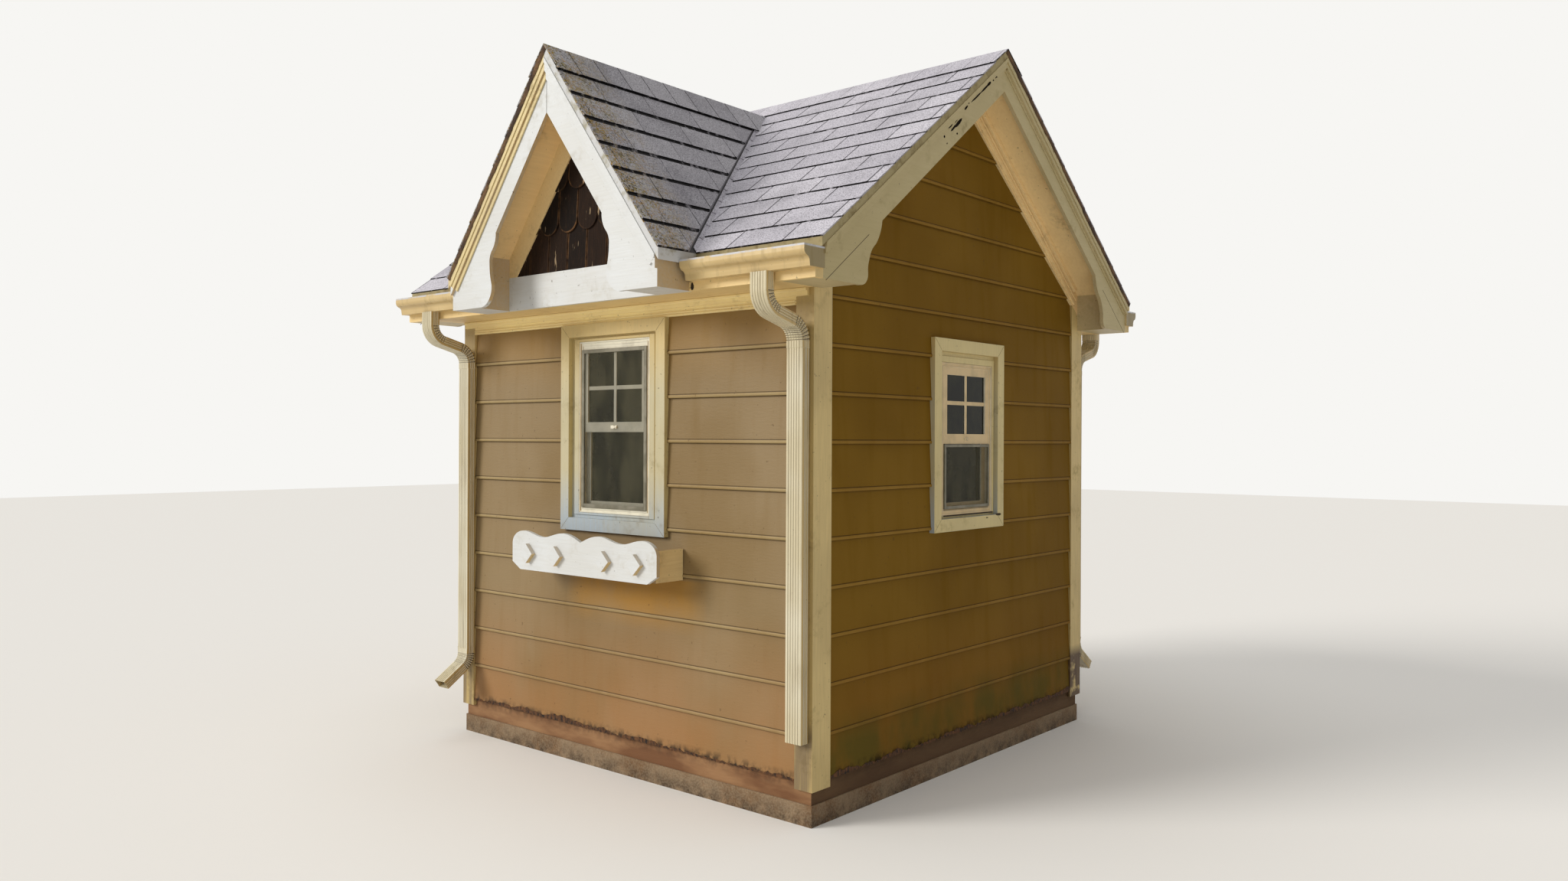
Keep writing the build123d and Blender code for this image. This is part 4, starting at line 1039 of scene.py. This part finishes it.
def crimped_pipe(node, shoe, x, y):
    """downspout: outlet, two crimped elbows, straight pipe, and a shoe with a third elbow"""
    outline = fluted_outline()
    pipe = started(bpy.ops.mesh.primitive_circle_add, vertices=len(outline), radius=1)
    for vertex, (across, back) in zip(pipe.data.vertices, outline):
        vertex.co = (PIPE_X + across, OUTLET_Y + back, GUTTER_FOOT)
    only(pipe)
    bpy.ops.object.mode_set(mode="EDIT")
    bpy.ops.mesh.select_mode(type="EDGE")
    bpy.ops.mesh.select_all(action="SELECT")
    here, heading = Vector((PIPE_X, OUTLET_Y, GUTTER_FOOT)), Vector((0, 0, -1))
    upper = GUTTER_FOOT - OUTLET_DROP
    lower = upper - (PIPE_Y - OUTLET_Y) / math.tan(ELBOW_TURN)
    tangent = ELBOW_RADIUS * math.tan(ELBOW_TURN / 2)
    shoe_turn = math.atan2(SHOE_REACH, SHOE_DROP)
    shoe_tangent = ELBOW_RADIUS * math.tan(shoe_turn / 2)
    bends = []

    def straight(length):
        nonlocal here
        bpy.ops.mesh.extrude_edges_move(TRANSFORM_OT_translate={"value": heading * length})
        here = here + heading * length

    def joint(change):
        """step where one piece of pipe slips into the next"""
        for moved in (0.0012, -0.0004):
            bpy.ops.mesh.extrude_edges_move(TRANSFORM_OT_translate={"value": heading * moved})
            if moved > 0:
                bpy.ops.transform.resize(value=(1 + change / PIPE_WIDTH, 1 + change / PIPE_DEPTH, 1))

    def elbow(turn):
        nonlocal here, heading
        aside = Vector((0, -heading.z, heading.y)) * (1 if turn > 0 else -1)
        centre = here + aside * ELBOW_RADIUS
        bpy.ops.mesh.spin(steps=4 * FOLDS, angle=-turn, center=centre, axis=(1, 0, 0))
        bends.append((centre, here - centre, turn))
        rotation = Matrix.Rotation(turn, 3, "X")
        here = centre + rotation @ (here - centre)
        heading = rotation @ heading

    straight(OUTLET_DROP - tangent)
    elbow(ELBOW_TURN)
    straight(math.hypot(PIPE_Y - OUTLET_Y, upper - lower) - 2 * tangent)
    elbow(-ELBOW_TURN)
    straight(NECK)
    joint(-SLIP)
    if shoe:
        straight(lower - tangent - NECK - SHOE_TURN - shoe_tangent - SHOE_NECK)
        joint(SLIP)
        straight(SHOE_NECK)
        elbow(-shoe_turn)
        straight(math.hypot(SHOE_REACH, SHOE_DROP) - shoe_tangent)
    else:
        straight(lower - tangent - NECK - SHORT_FOOT)
    bpy.ops.object.mode_set(mode="OBJECT")
    crimp(pipe, bends)
    with edit_mode(pipe):
        bpy.ops.mesh.remove_doubles(threshold=1e-6)
        bpy.ops.mesh.normals_make_consistent(inside=False)
    modify(pipe, "SOLIDIFY", thickness=PIPE_WALL, offset=-1)

    def dirt_and_shade_at(face):
        """dark in the folds of the elbows, and half dark in the flutes: dirt with painted shade"""
        for bend in bends:
            found = along_bend(face.center, bend)
            if found and 0.9 < found[0] % 4 < 2.1 and (bend[2] < 0 or found[1] > 0.3):
                return 1.0
        from_side = abs(face.center.x - PIPE_X) - PIPE_WIDTH / 2 + FLUTE_DEPTH
        from_front = abs(face.center.y - PIPE_Y) - PIPE_DEPTH / 2 + FLUTE_DEPTH
        return FLUTE_DIRT_AND_SHADE if min(abs(from_side), abs(from_front)) < 0.0005 else 0.0

    mark(pipe, "fold", dirt_and_shade_at)
    mirror(pipe, x, y)
    only(pipe)
    bpy.ops.object.shade_smooth_by_angle(angle=math.radians(28))
    settle(pipe, "crimped_" + node, ENAMEL_PIPE)
    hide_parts(node)


crimped_pipe("downspout_front_right", False, 1, 1)
crimped_pipe("downspout_front_left", True, -1, 1)
crimped_pipe("downspout_back_right", True, 1, -1)
crimped_pipe("downspout_back_left", True, -1, -1)

# The front gable panel: rows of cedar shingles, each row given by its foot, length, round ends and shift
PANEL_FACE, TIE_TOP = 1.430, 2.387
CEDAR_THICKNESS, CEDAR_WIDTH, CEDAR_GAP, CEDAR_TILT, CEDAR_RIM = 0.007, 0.1385, 0.004, 0.011, 0.005
CEDAR_ROWS = ((TIE_TOP - 0.01, 0.25, False, -0.012), (2.5635, 0.24, True, -0.0775),
              (2.764, 0.24, True, -0.0085), (2.964, 0.21, True, -0.0775))


def most_forward(piece):
    """number of the largest face that looks to the front"""
    return max(piece.data.polygons, key=lambda face: -face.normal.y * face.area).index


def cedar_shingle(width, length, round_end):
    """split shingle hanging from its upper edge, with a round or a square lower end"""
    shingle = started(bpy.ops.mesh.primitive_cube_add, size=1)
    shingle.data.transform(Matrix.Translation((0, -CEDAR_THICKNESS / 2, -length / 2))
                           @ Matrix.Diagonal((width, CEDAR_THICKNESS, length, 1.0)))
    pick_edges(shingle, lambda a, b: max(a.z, b.z) < -length + 0.001 and abs(a.y - b.y) > 0.001)
    bpy.ops.mesh.bevel(offset=width * 0.49 if round_end else 0.003, segments=8 if round_end else 1)
    bpy.ops.object.mode_set(mode="OBJECT")
    for vertex in shingle.data.vertices:
        vertex.co.y += CEDAR_TILT * vertex.co.z / length
    modify(shingle, "BEVEL", width=0.0015, segments=2, limit_method="ANGLE")
    front = most_forward(shingle)
    with edit_mode(shingle, "DESELECT"):
        bpy.ops.object.mode_set(mode="OBJECT")
        shingle.data.polygons[front].select = True
        bpy.ops.object.mode_set(mode="EDIT")
        bpy.ops.mesh.select_mode(type="FACE")
        bpy.ops.mesh.inset(thickness=CEDAR_RIM, depth=0)
    middle = most_forward(shingle)
    mark(shingle, "butt",
         lambda face: float(face.index != middle and face.normal.y < 0.2 and face.center.z < -0.05))
    return shingle


shingles = []
panel_reach = (FRONT_RIDGE - 0.122 / math.cos(FRONT_PITCH) - 0.03) / FRONT_SLOPE
panel_cuts = [((hand * panel_reach, 0, 0), (hand * FRONT_SLOPE, 0, 1)) for hand in (-1, 1)]
panel_cuts.append(((0, 0, TIE_TOP - 0.006), (0, 0, -1)))
for foot, length, round_end, shift in CEDAR_ROWS:
    pattern = cedar_shingle(CEDAR_WIDTH - CEDAR_GAP, length, round_end)
    for k in range(-4, 5):
        drop = random.uniform(-0.003, 0.003)
        place = Matrix.Translation((shift + k * CEDAR_WIDTH, -PANEL_FACE, foot + length + drop))
        piece = copy_at(pattern, place)
        mark_tone(piece)
        bleached = 0.9 if k == 0 else random.uniform(0.15, 0.6)
        for item in piece.data.attributes["butt"].data:
            item.value *= bleached
        shingles.append(trimmed(piece, panel_cuts))
    bpy.data.objects.remove(pattern)
settle(join(shingles, "cedar"), "gable_cedar_shingles", CEDAR)

# Mouldings of the trim: faces of the bargeboards, how far the crown stands out, how deep the roof is over them
BARGE_FACE_SIDE, BARGE_FACE_FRONT = 1.410, 1.632
MOULD, ROOF_DEPTH = 0.014, 0.030
RAKE_FRIEZE_FACE = 1.225
SPARE = 0.05


def sloping_strip(name, ridge, slope, depth, width, face, thickness, reach, side, finishes):
    """pair of strips down both rakes, at a depth under the roof top, mitred at the ridge"""
    pitch = math.atan(slope)
    strips = []
    for hand in (-1, 1):
        strip = beam(name, (0, reach / math.cos(pitch) + 2 * SPARE), (-(face + thickness), -face),
                     (-(depth + width), -depth), 0)
        with edit_mode(strip):
            bpy.ops.mesh.subdivide(number_cuts=1)
        strip.data.transform(Matrix.Translation((-SPARE, 0, 0)))
        strip.data.transform(Matrix.Translation((0, 0, ridge)) @ Matrix.Rotation(pitch, 4, "Y"))
        cut_away(strip, (0, 0, 0), (-1, 0, 0))
        cut_away(strip, (reach, 0, 0), (1, 0, 0))
        strip.data.materials.append(finishes[hand > 0])
        mirror(strip, hand)
        strips.append(strip)
    pair = join(strips, name)
    modify(pair, "BEVEL", width=0.0018, segments=2, limit_method="ANGLE")
    settle(pair, name, None, side)


for side in ("right", "left"):
    for name, depth, width, face, thickness, reach, finish in (
            ("rake_crown_", ROOF_DEPTH + 0.001, 0.015, BARGE_FACE_SIDE + MOULD, 0.005, 1.399, TRIM_RAKE),
            ("rake_crown_foot_", ROOF_DEPTH + 0.0365, 0.012, BARGE_FACE_SIDE, 0.005, 1.384, TRIM_RAKE),
            ("rake_bed_mould_", 0.1225, 0.026, RAKE_FRIEZE_FACE, 0.020, 1.16, TRIM_SOFFIT),
            ("rake_bed_bead_", 0.156, 0.009, RAKE_FRIEZE_FACE, 0.007, 1.20, TRIM_SOFFIT),
            ("rake_bed_foot_", 0.186, 0.014, RAKE_FRIEZE_FACE, 0.008, 1.20, TRIM_SOFFIT)):
        sloping_strip(name + side, MAIN_RIDGE, MAIN_SLOPE, depth, width, face, thickness, reach, side,
                      (finish, finish))
# the front gable crown is cream on the left as painted warm light and white on the right as painted sky light
for name, depth, width, face, thickness in (
        ("gable_crown", ROOF_DEPTH + 0.001, 0.015, BARGE_FACE_FRONT + MOULD, 0.005),
        ("gable_crown_painted_light_strip", ROOF_DEPTH + 0.0165, 0.0205, BARGE_FACE_FRONT + MOULD, 0.0008),
        ("gable_crown_foot", ROOF_DEPTH + 0.0365, 0.023, BARGE_FACE_FRONT, 0.007)):
    sloping_strip(name, FRONT_RIDGE, FRONT_SLOPE, depth, width, face, thickness, 0.726, "front",
                  (CROWN_CREAM, CROWN_WHITE))


DROOP = (0.023, 0.029)


def drooping_edge(name, ridge, slope, low_reach, face, side, hand, seed):
    """worn ends of the shingle courses that hang down over one rake, in uneven dark flaps"""
    pitch = math.atan(slope)
    length = low_reach / math.cos(pitch)
    columns, per_flap = 96, 8
    flap = started(bpy.ops.mesh.primitive_grid_add, x_subdivisions=columns, y_subdivisions=3, size=1)
    noise = random.Random(seed)
    hang = [noise.uniform(*DROOP) for _ in range(columns // per_flap + 2)]
    for vertex in flap.data.vertices:
        along, share = vertex.co.x + 0.5, 0.5 - vertex.co.y
        step, part = divmod(along * columns / per_flap, 1)
        droop = hang[int(step)] * (1 - part * 0.16) + 0.002 * math.sin(along * 31)
        vertex.co = (along * length, -face - 0.002 - 0.002 * math.sin(share * math.pi), 0.004 - share * droop)
    modify(flap, "SOLIDIFY", thickness=0.0025, offset=0)
    flap.data.transform(Matrix.Translation((0, 0, ridge)) @ Matrix.Rotation(pitch, 4, "Y"))
    mirror(flap, hand)
    settle(flap, name, WORN_FELT, side)


drooping_edge("worn_rake_front_gable_left", FRONT_RIDGE, FRONT_SLOPE, VALLEY_FOOT, FRONT_EDGE - SETBACK,
              "front", -1, 11)
drooping_edge("worn_rake_right_gable_back", MAIN_RIDGE, MAIN_SLOPE, EAVE, RAKE - SETBACK, "right", 1, 12)
drooping_edge("worn_rake_left_gable_back", MAIN_RIDGE, MAIN_SLOPE, EAVE, RAKE - SETBACK, "left", -1, 13)

FRIEZE_HEAD_FACE, FRIEZE_FACE = SHEATHING + 0.032, SHEATHING + 0.019
for side in ("front", "back"):
    for name, top, drop, out, face, reach in (
            ("eave_bed_mould_", 2.2245, 0.014, 0.010, FRIEZE_HEAD_FACE, 1.198),
            ("eave_bed_bead_", 2.178, 0.006, 0.005, FRIEZE_FACE, 1.129),
            ("eave_frieze_foot_", 2.166, 0.008, 0.004, FRIEZE_FACE, 1.129)):
        strip = beam(name, (-reach, reach), (-(face + out), -face), (top - drop, top), 0.003)
        settle(strip, name + side, TRIM_FRIEZE, side)

GUTTER_TOP, GUTTER_FRONT, GUTTER_END = 2.345, 1.527, 1.418
GUTTER_START = VALLEY_FOOT + 0.0025
RIM_FOOT, RIM_HALF, RIM_SET = 2.322, 0.0022, 0.0012
SPIKE_SPACING = 0.42


def gutter_trim(name, start, end, side):
    """rolled hem along the gutter's front edge, rims on its end caps and the heads of its spikes"""
    pieces = [beam(name, (start, end), (0.0005 - GUTTER_FRONT, 0.0125 - GUTTER_FRONT),
                   (GUTTER_TOP - 0.0085, GUTTER_TOP - 0.0005), 0.003)]
    for place in (start + RIM_SET, end - RIM_SET):
        pieces.append(beam(name, (place - RIM_HALF, place + RIM_HALF),
                           (0.002 - GUTTER_FRONT, 0.012 - GUTTER_FRONT), (RIM_FOOT, GUTTER_TOP), 0.001))
    spike = started(bpy.ops.mesh.primitive_cylinder_add, vertices=12, radius=0.0055, depth=0.004,
                    rotation=(math.pi / 2, 0, 0))
    bpy.ops.object.transform_apply(location=False, rotation=True, scale=False)
    with edit_mode(spike):
        bpy.ops.mesh.bevel(offset=0.0014, segments=2)
    count = max(2, round((end - start) / SPIKE_SPACING))
    for k in range(count):
        place = start + (k + 0.5) * (end - start) / count
        pieces.append(copy_at(spike, Matrix.Translation((place, 0.0021 - GUTTER_FRONT, GUTTER_TOP - 0.017))))
    bpy.data.objects.remove(spike)
    settle(join(pieces, name), name, ENAMEL, side)


gutter_trim("gutter_hem_front_right", GUTTER_START, GUTTER_END, "front")
gutter_trim("gutter_hem_front_left", -GUTTER_END, -GUTTER_START, "front")
gutter_trim("gutter_hem_back", -GUTTER_END, GUTTER_END, "back")


def valley_weave(name, side):
    """main slope shingles carried across the valley and up the gable slope, in lapped steps"""
    top, foot = Vector((0, -VALLEY_TOP, FRONT_RIDGE)), Vector((side * VALLEY_FOOT, -EAVE, FRONT_EAVE_LEVEL))
    up = (top - foot).normalized()
    out = Vector((side * math.sin(FRONT_PITCH), 0, math.cos(FRONT_PITCH)))
    basis = Matrix((up.cross(out) * -side, up, out)).transposed().to_4x4()
    step = (top - foot).length / MAIN_COURSES * WEAVE_SHARE
    tiles = []
    for k in range(MAIN_COURSES):
        tile = beam("weave", (-0.004, WEAVE / WEAVE_SHARE), (0, step + WEAVE_LAP), (0, WEAVE_THICKNESS), 0)
        for vertex in tile.data.vertices:
            vertex.co.z += WEAVE_BUTT * (1 - vertex.co.y / (step + WEAVE_LAP))
            vertex.co.y -= vertex.co.x * 0.5 * (vertex.co.x > 0)
        basis.translation = foot + up * step * k + out * CAP_CLEARANCE
        tile.data.transform(basis)
        if basis.to_3x3().determinant() < 0:
            tile.data.flip_normals()
        mark_tone(tile, 0.2)
        tiles.append(tile)
    weave = join(tiles, "weave")
    cut_away(weave, (0, -EAVE, 0), (0, -1, 0))
    settle(weave, name, SHINGLES)


valley_weave("valley_weave_right", 1)
valley_weave("valley_weave_left", -1)


def joint_line(name, start, end, width, side):
    """open joint between two boards, as a thin dark line on their faces"""
    start, end = Vector(start), Vector(end)
    along = end - start
    line = beam(name, (0, along.length), (-JOINT_DEPTH, JOINT_DEPTH), (-width / 2, width / 2), 0)
    line.data.transform(Matrix.Translation(start) @ Matrix.Rotation(-math.atan2(along.z, along.x), 4, "Y"))
    settle(line, name, GAP_DARK, side)


CROWN_WIDTH, FRONT_BOARD_WIDTH, SIDE_BOARD_WIDTH = 0.036, 0.149, 0.126
apex_joint = [(0, -BARGE_FACE_FRONT, FRONT_RIDGE - (ROOF_DEPTH + width) / math.cos(FRONT_PITCH))
              for width in (FRONT_BOARD_WIDTH, CROWN_WIDTH)]
joint_line("gable_apex_joint", *apex_joint, 0.0022, "front")
board_line = MAIN_RIDGE - (ROOF_DEPTH + SIDE_BOARD_WIDTH) / math.cos(MAIN_PITCH)
for side, place, hand in (("right", "front", -1), ("right", "back", 1),
                          ("left", "front", 1), ("left", "back", -1)):
    seam = [(hand * run, -BARGE_FACE_SIDE, board_line - MAIN_SLOPE * run) for run in (1.384, 1.10)]
    joint_line("scroll_seam_" + side + "_" + place, *seam, 0.002, side)

# Slots chewed into the right bargeboards: the places (y, z) of both ends, and the width
SLOT_DEPTH = 0.012
SLOTS = (((-0.505, 2.995), (-0.478, 3.016), 0.011), ((-0.449, 3.030), (-0.436, 3.042), 0.009),
         ((-0.478, 2.987), (-0.432, 3.026), 0.012), ((-0.44, 3.016), (-0.392, 3.057), 0.019),
         ((-0.536, 2.949), (-0.533, 2.951), 0.012), ((-0.513, 2.923), (-0.511, 2.925), 0.007),
         ((-0.430, 2.984), (-0.426, 2.986), 0.010), ((-0.385, 3.102), (-0.362, 3.122), 0.011),
         ((-0.352, 3.136), (-0.348, 3.139), 0.006), ((-0.326, 3.149), (-0.243, 3.212), 0.009),
         ((-0.246, 3.210), (-0.165, 3.272), 0.010), ((-0.182, 3.260), (-0.158, 3.278), 0.015),
         ((-0.134, 3.293), (-0.128, 3.297), 0.008), ((-0.108, 3.310), (-0.098, 3.318), 0.012))


def chewed_slot(start, end, width):
    """cutter for one slot"""
    start, end = Vector((0, *start)), Vector((0, *end))
    along = end - start
    over = MOULD + 0.01
    rod = started(bpy.ops.mesh.primitive_cylinder_add, vertices=9, radius=0.5, depth=1)
    for vertex in rod.data.vertices:
        vertex.co *= 1 + random.uniform(-0.12, 0.12)
    size = Matrix.Diagonal((along.length + width, width, SLOT_DEPTH + over, 1.0))
    turn = (Matrix.Rotation(math.atan2(along.z, along.y), 4, "X") @ Matrix.Rotation(math.pi / 2, 4, "Z")
            @ Matrix.Rotation(math.pi / 2, 4, "X"))
    middle = (start + end) / 2 + Vector((BARGE_FACE_SIDE + (over - SLOT_DEPTH) / 2, 0, 0))
    rod.data.transform(Matrix.Translation(middle) @ turn @ size)
    rod.data.materials.append(GAP_DARK)
    return rod


boards = welded_copy("bargeboards_right")
chewing = join([chewed_slot(*slot) for slot in SLOTS], "chewing")
for chewed in (boards, bpy.data.objects["rake_crown_right"], bpy.data.objects["rake_crown_foot_right"]):
    modify(chewed, "BOOLEAN", operation="DIFFERENCE", object=chewing, solver="EXACT", use_self=True,
           material_mode="TRANSFER")
    bpy.ops.object.shade_flat()
bpy.data.objects.remove(chewing)
settle(boards, "bargeboards_right_chewed", None)
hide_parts("bargeboards_right")

# The front of the flower box: a board sawn to lobes with one notch in the middle, and four square studs
BOX_MIDDLE, BOARD_FOOT, BOARD_HALF = -0.025, 0.954, 0.517
BOARD_FACE, BOARD_BACK, STUD_FACE = -1.407, -1.388, -1.429
STUD_HALF, STUD_LEVEL, STUD_PLACES = 0.034, 0.083, (-0.385, -0.172, 0.172, 0.385)
CLIP_WIDTH, CLIP_HEIGHT = 0.062, 0.036


def lobed_top(x):
    """height of the board's sawn edge at a distance from its middle"""
    x = abs(x)
    if x < 0.128:
        return 0.157 + 0.036 * math.sin(math.pi / 2 * x / 0.128)
    if x < 0.282:
        return 0.180 + 0.013 * math.cos(math.pi * (x - 0.128) / 0.154)
    if x < 0.425:
        return 0.179 - 0.012 * math.cos(math.pi * (x - 0.282) / 0.143)
    return 0.127 + 0.064 * math.sqrt(max(0.0, 1 - ((x - 0.425) / 0.092) ** 2))


def lobed_board(name, node):
    """flower box front with its studs, bare wood on the undersides of the studs"""
    board = started(bpy.ops.mesh.primitive_grid_add, x_subdivisions=144, y_subdivisions=1, size=1)
    for vertex in board.data.vertices:
        x = BOARD_HALF * math.sin(math.pi * vertex.co.x)
        foot = CLIP_HEIGHT * max(0.0, abs(x) - BOARD_HALF + CLIP_WIDTH) / CLIP_WIDTH
        level = lobed_top(x) if vertex.co.y > 0 else foot
        vertex.co = (BOX_MIDDLE + x, BOARD_FACE, BOARD_FOOT + level)
    modify(board, "SOLIDIFY", thickness=BOARD_BACK - BOARD_FACE, offset=-1)
    pieces = [board]
    for place in STUD_PLACES:
        stud = beam("stud", (-STUD_HALF, STUD_HALF), (STUD_FACE, BOARD_FACE + 0.001),
                    (-STUD_HALF, STUD_HALF), 0.001)
        stud.data.transform(Matrix.Translation((BOX_MIDDLE + place, 0, BOARD_FOOT + STUD_LEVEL))
                            @ Matrix.Rotation(math.pi / 4, 4, "Y"))
        pieces.append(stud)
    for piece in pieces:
        for finish in (TRIM_WHITE, BOX_ENDS):
            piece.data.materials.append(finish)
    for stud in pieces[1:]:
        for face in stud.data.polygons:
            face.material_index = int(face.normal.z < -0.5)
    board = settle(join(pieces, name), name, None)
    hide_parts(node)


lobed_board("flower_box_board_lobed", "flower_box_front")


def rot_hole(name, place, width, height, side):
    """ragged hole rotted through a painted board, at a place on its face, drawn as a thin dark disc of painted
    shadow
    """
    corners = 13
    hole = started(bpy.ops.mesh.primitive_cylinder_add, vertices=corners, radius=0.5, depth=1)
    noise = random.Random(name)
    stretch = [noise.uniform(0.7, 1.15) for _ in range(corners)]
    for number, vertex in enumerate(hole.data.vertices):
        vertex.co.xy = vertex.co.xy * stretch[number // 2]
    hole.data.transform(Matrix.Translation(place) @ Matrix.Diagonal((width, 0.0012, height, 1.0))
                        @ Matrix.Rotation(math.pi / 2, 4, "X"))
    settle(hole, name, GAP_DARK, side)


rot_hole("ledge_rot_hole", (0.746, -1.4492, 2.243), 0.018, 0.034, "front")
rot_hole("casing_rot_hole_right", (0.262, -1.2380, 1.2225), 0.056, 0.014, "right")
rot_hole("casing_peeled_spot_right", (0.150, -1.2380, 1.212), 0.020, 0.006, "right")
joint_line("window_foot_gap_right", (-0.229, -1.2206, 1.236), (0.235, -1.2206, 1.236), 0.006, "right")

camera_data = bpy.data.cameras.new("camera")
camera_data.lens = 26.2
camera = bpy.data.objects.new("camera", camera_data)
bpy.context.collection.objects.link(camera)
camera.location = (4.147, -4.870, 1.601)
camera.rotation_euler = (math.pi / 2 - 0.0013, -0.0044, 0.7016)
bpy.context.scene.camera = camera


def pale_floor():
    """Matt pale studio floor, which shows the building's shadow and nothing else."""
    m = new_material("floor_pale")
    surface = add(m, "ShaderNodeBsdfDiffuse", {"Color": linear("#f2f0ec")})
    add(m, "ShaderNodeOutputMaterial", {0: surface.outputs[0]})
    return m


floor = started(bpy.ops.mesh.primitive_plane_add, size=60)
floor.name = "floor"
floor.data.materials.append(pale_floor())


def studio_world():
    """soft even light on the object, and a pale backdrop for what looks straight at it"""
    world = bpy.data.worlds.new("studio")
    world.use_nodes = True
    world.node_tree.nodes.clear()
    soft = add(world, "ShaderNodeBackground", {"Color": linear("#f4f2ee"), "Strength": 0.35})
    pale = add(world, "ShaderNodeBackground", {"Color": linear("#f7f6f3"), "Strength": 1.0})
    rays = add(world, "ShaderNodeLightPath")
    seen = add(world, "ShaderNodeMath", {0: rays.outputs["Is Camera Ray"], 1: rays.outputs["Is Glossy Ray"]},
               operation="MAXIMUM")
    through = add(world, "ShaderNodeMath", {0: seen.outputs[0], 1: rays.outputs["Is Transmission Ray"]},
                  operation="MAXIMUM")
    both = add(world, "ShaderNodeMixShader", {0: through.outputs[0], 1: soft.outputs[0], 2: pale.outputs[0]})
    add(world, "ShaderNodeOutputWorld", {0: both.outputs[0]})
    return world


bpy.context.scene.world = studio_world()


def broad_light(name, direction, width, strength, colour):
    """far, wide light that falls in one direction, with soft shadows"""
    data = bpy.data.lights.new(name, "SUN")
    data.angle = math.radians(width)
    data.energy = strength
    data.color = linear(colour)[:3]
    item = bpy.data.objects.new(name, data)
    bpy.context.collection.objects.link(item)
    item.rotation_euler = Vector(direction).to_track_quat("-Z", "Y").to_euler()


broad_light("key", (0.53, 0.75, -0.40), 24, 2.2, "#fffbf5")
broad_light("overhead", (0.10, 0.15, -1.0), 60, 1.0, "#ffffff")

bpy.context.scene.view_settings.view_transform = "Standard"
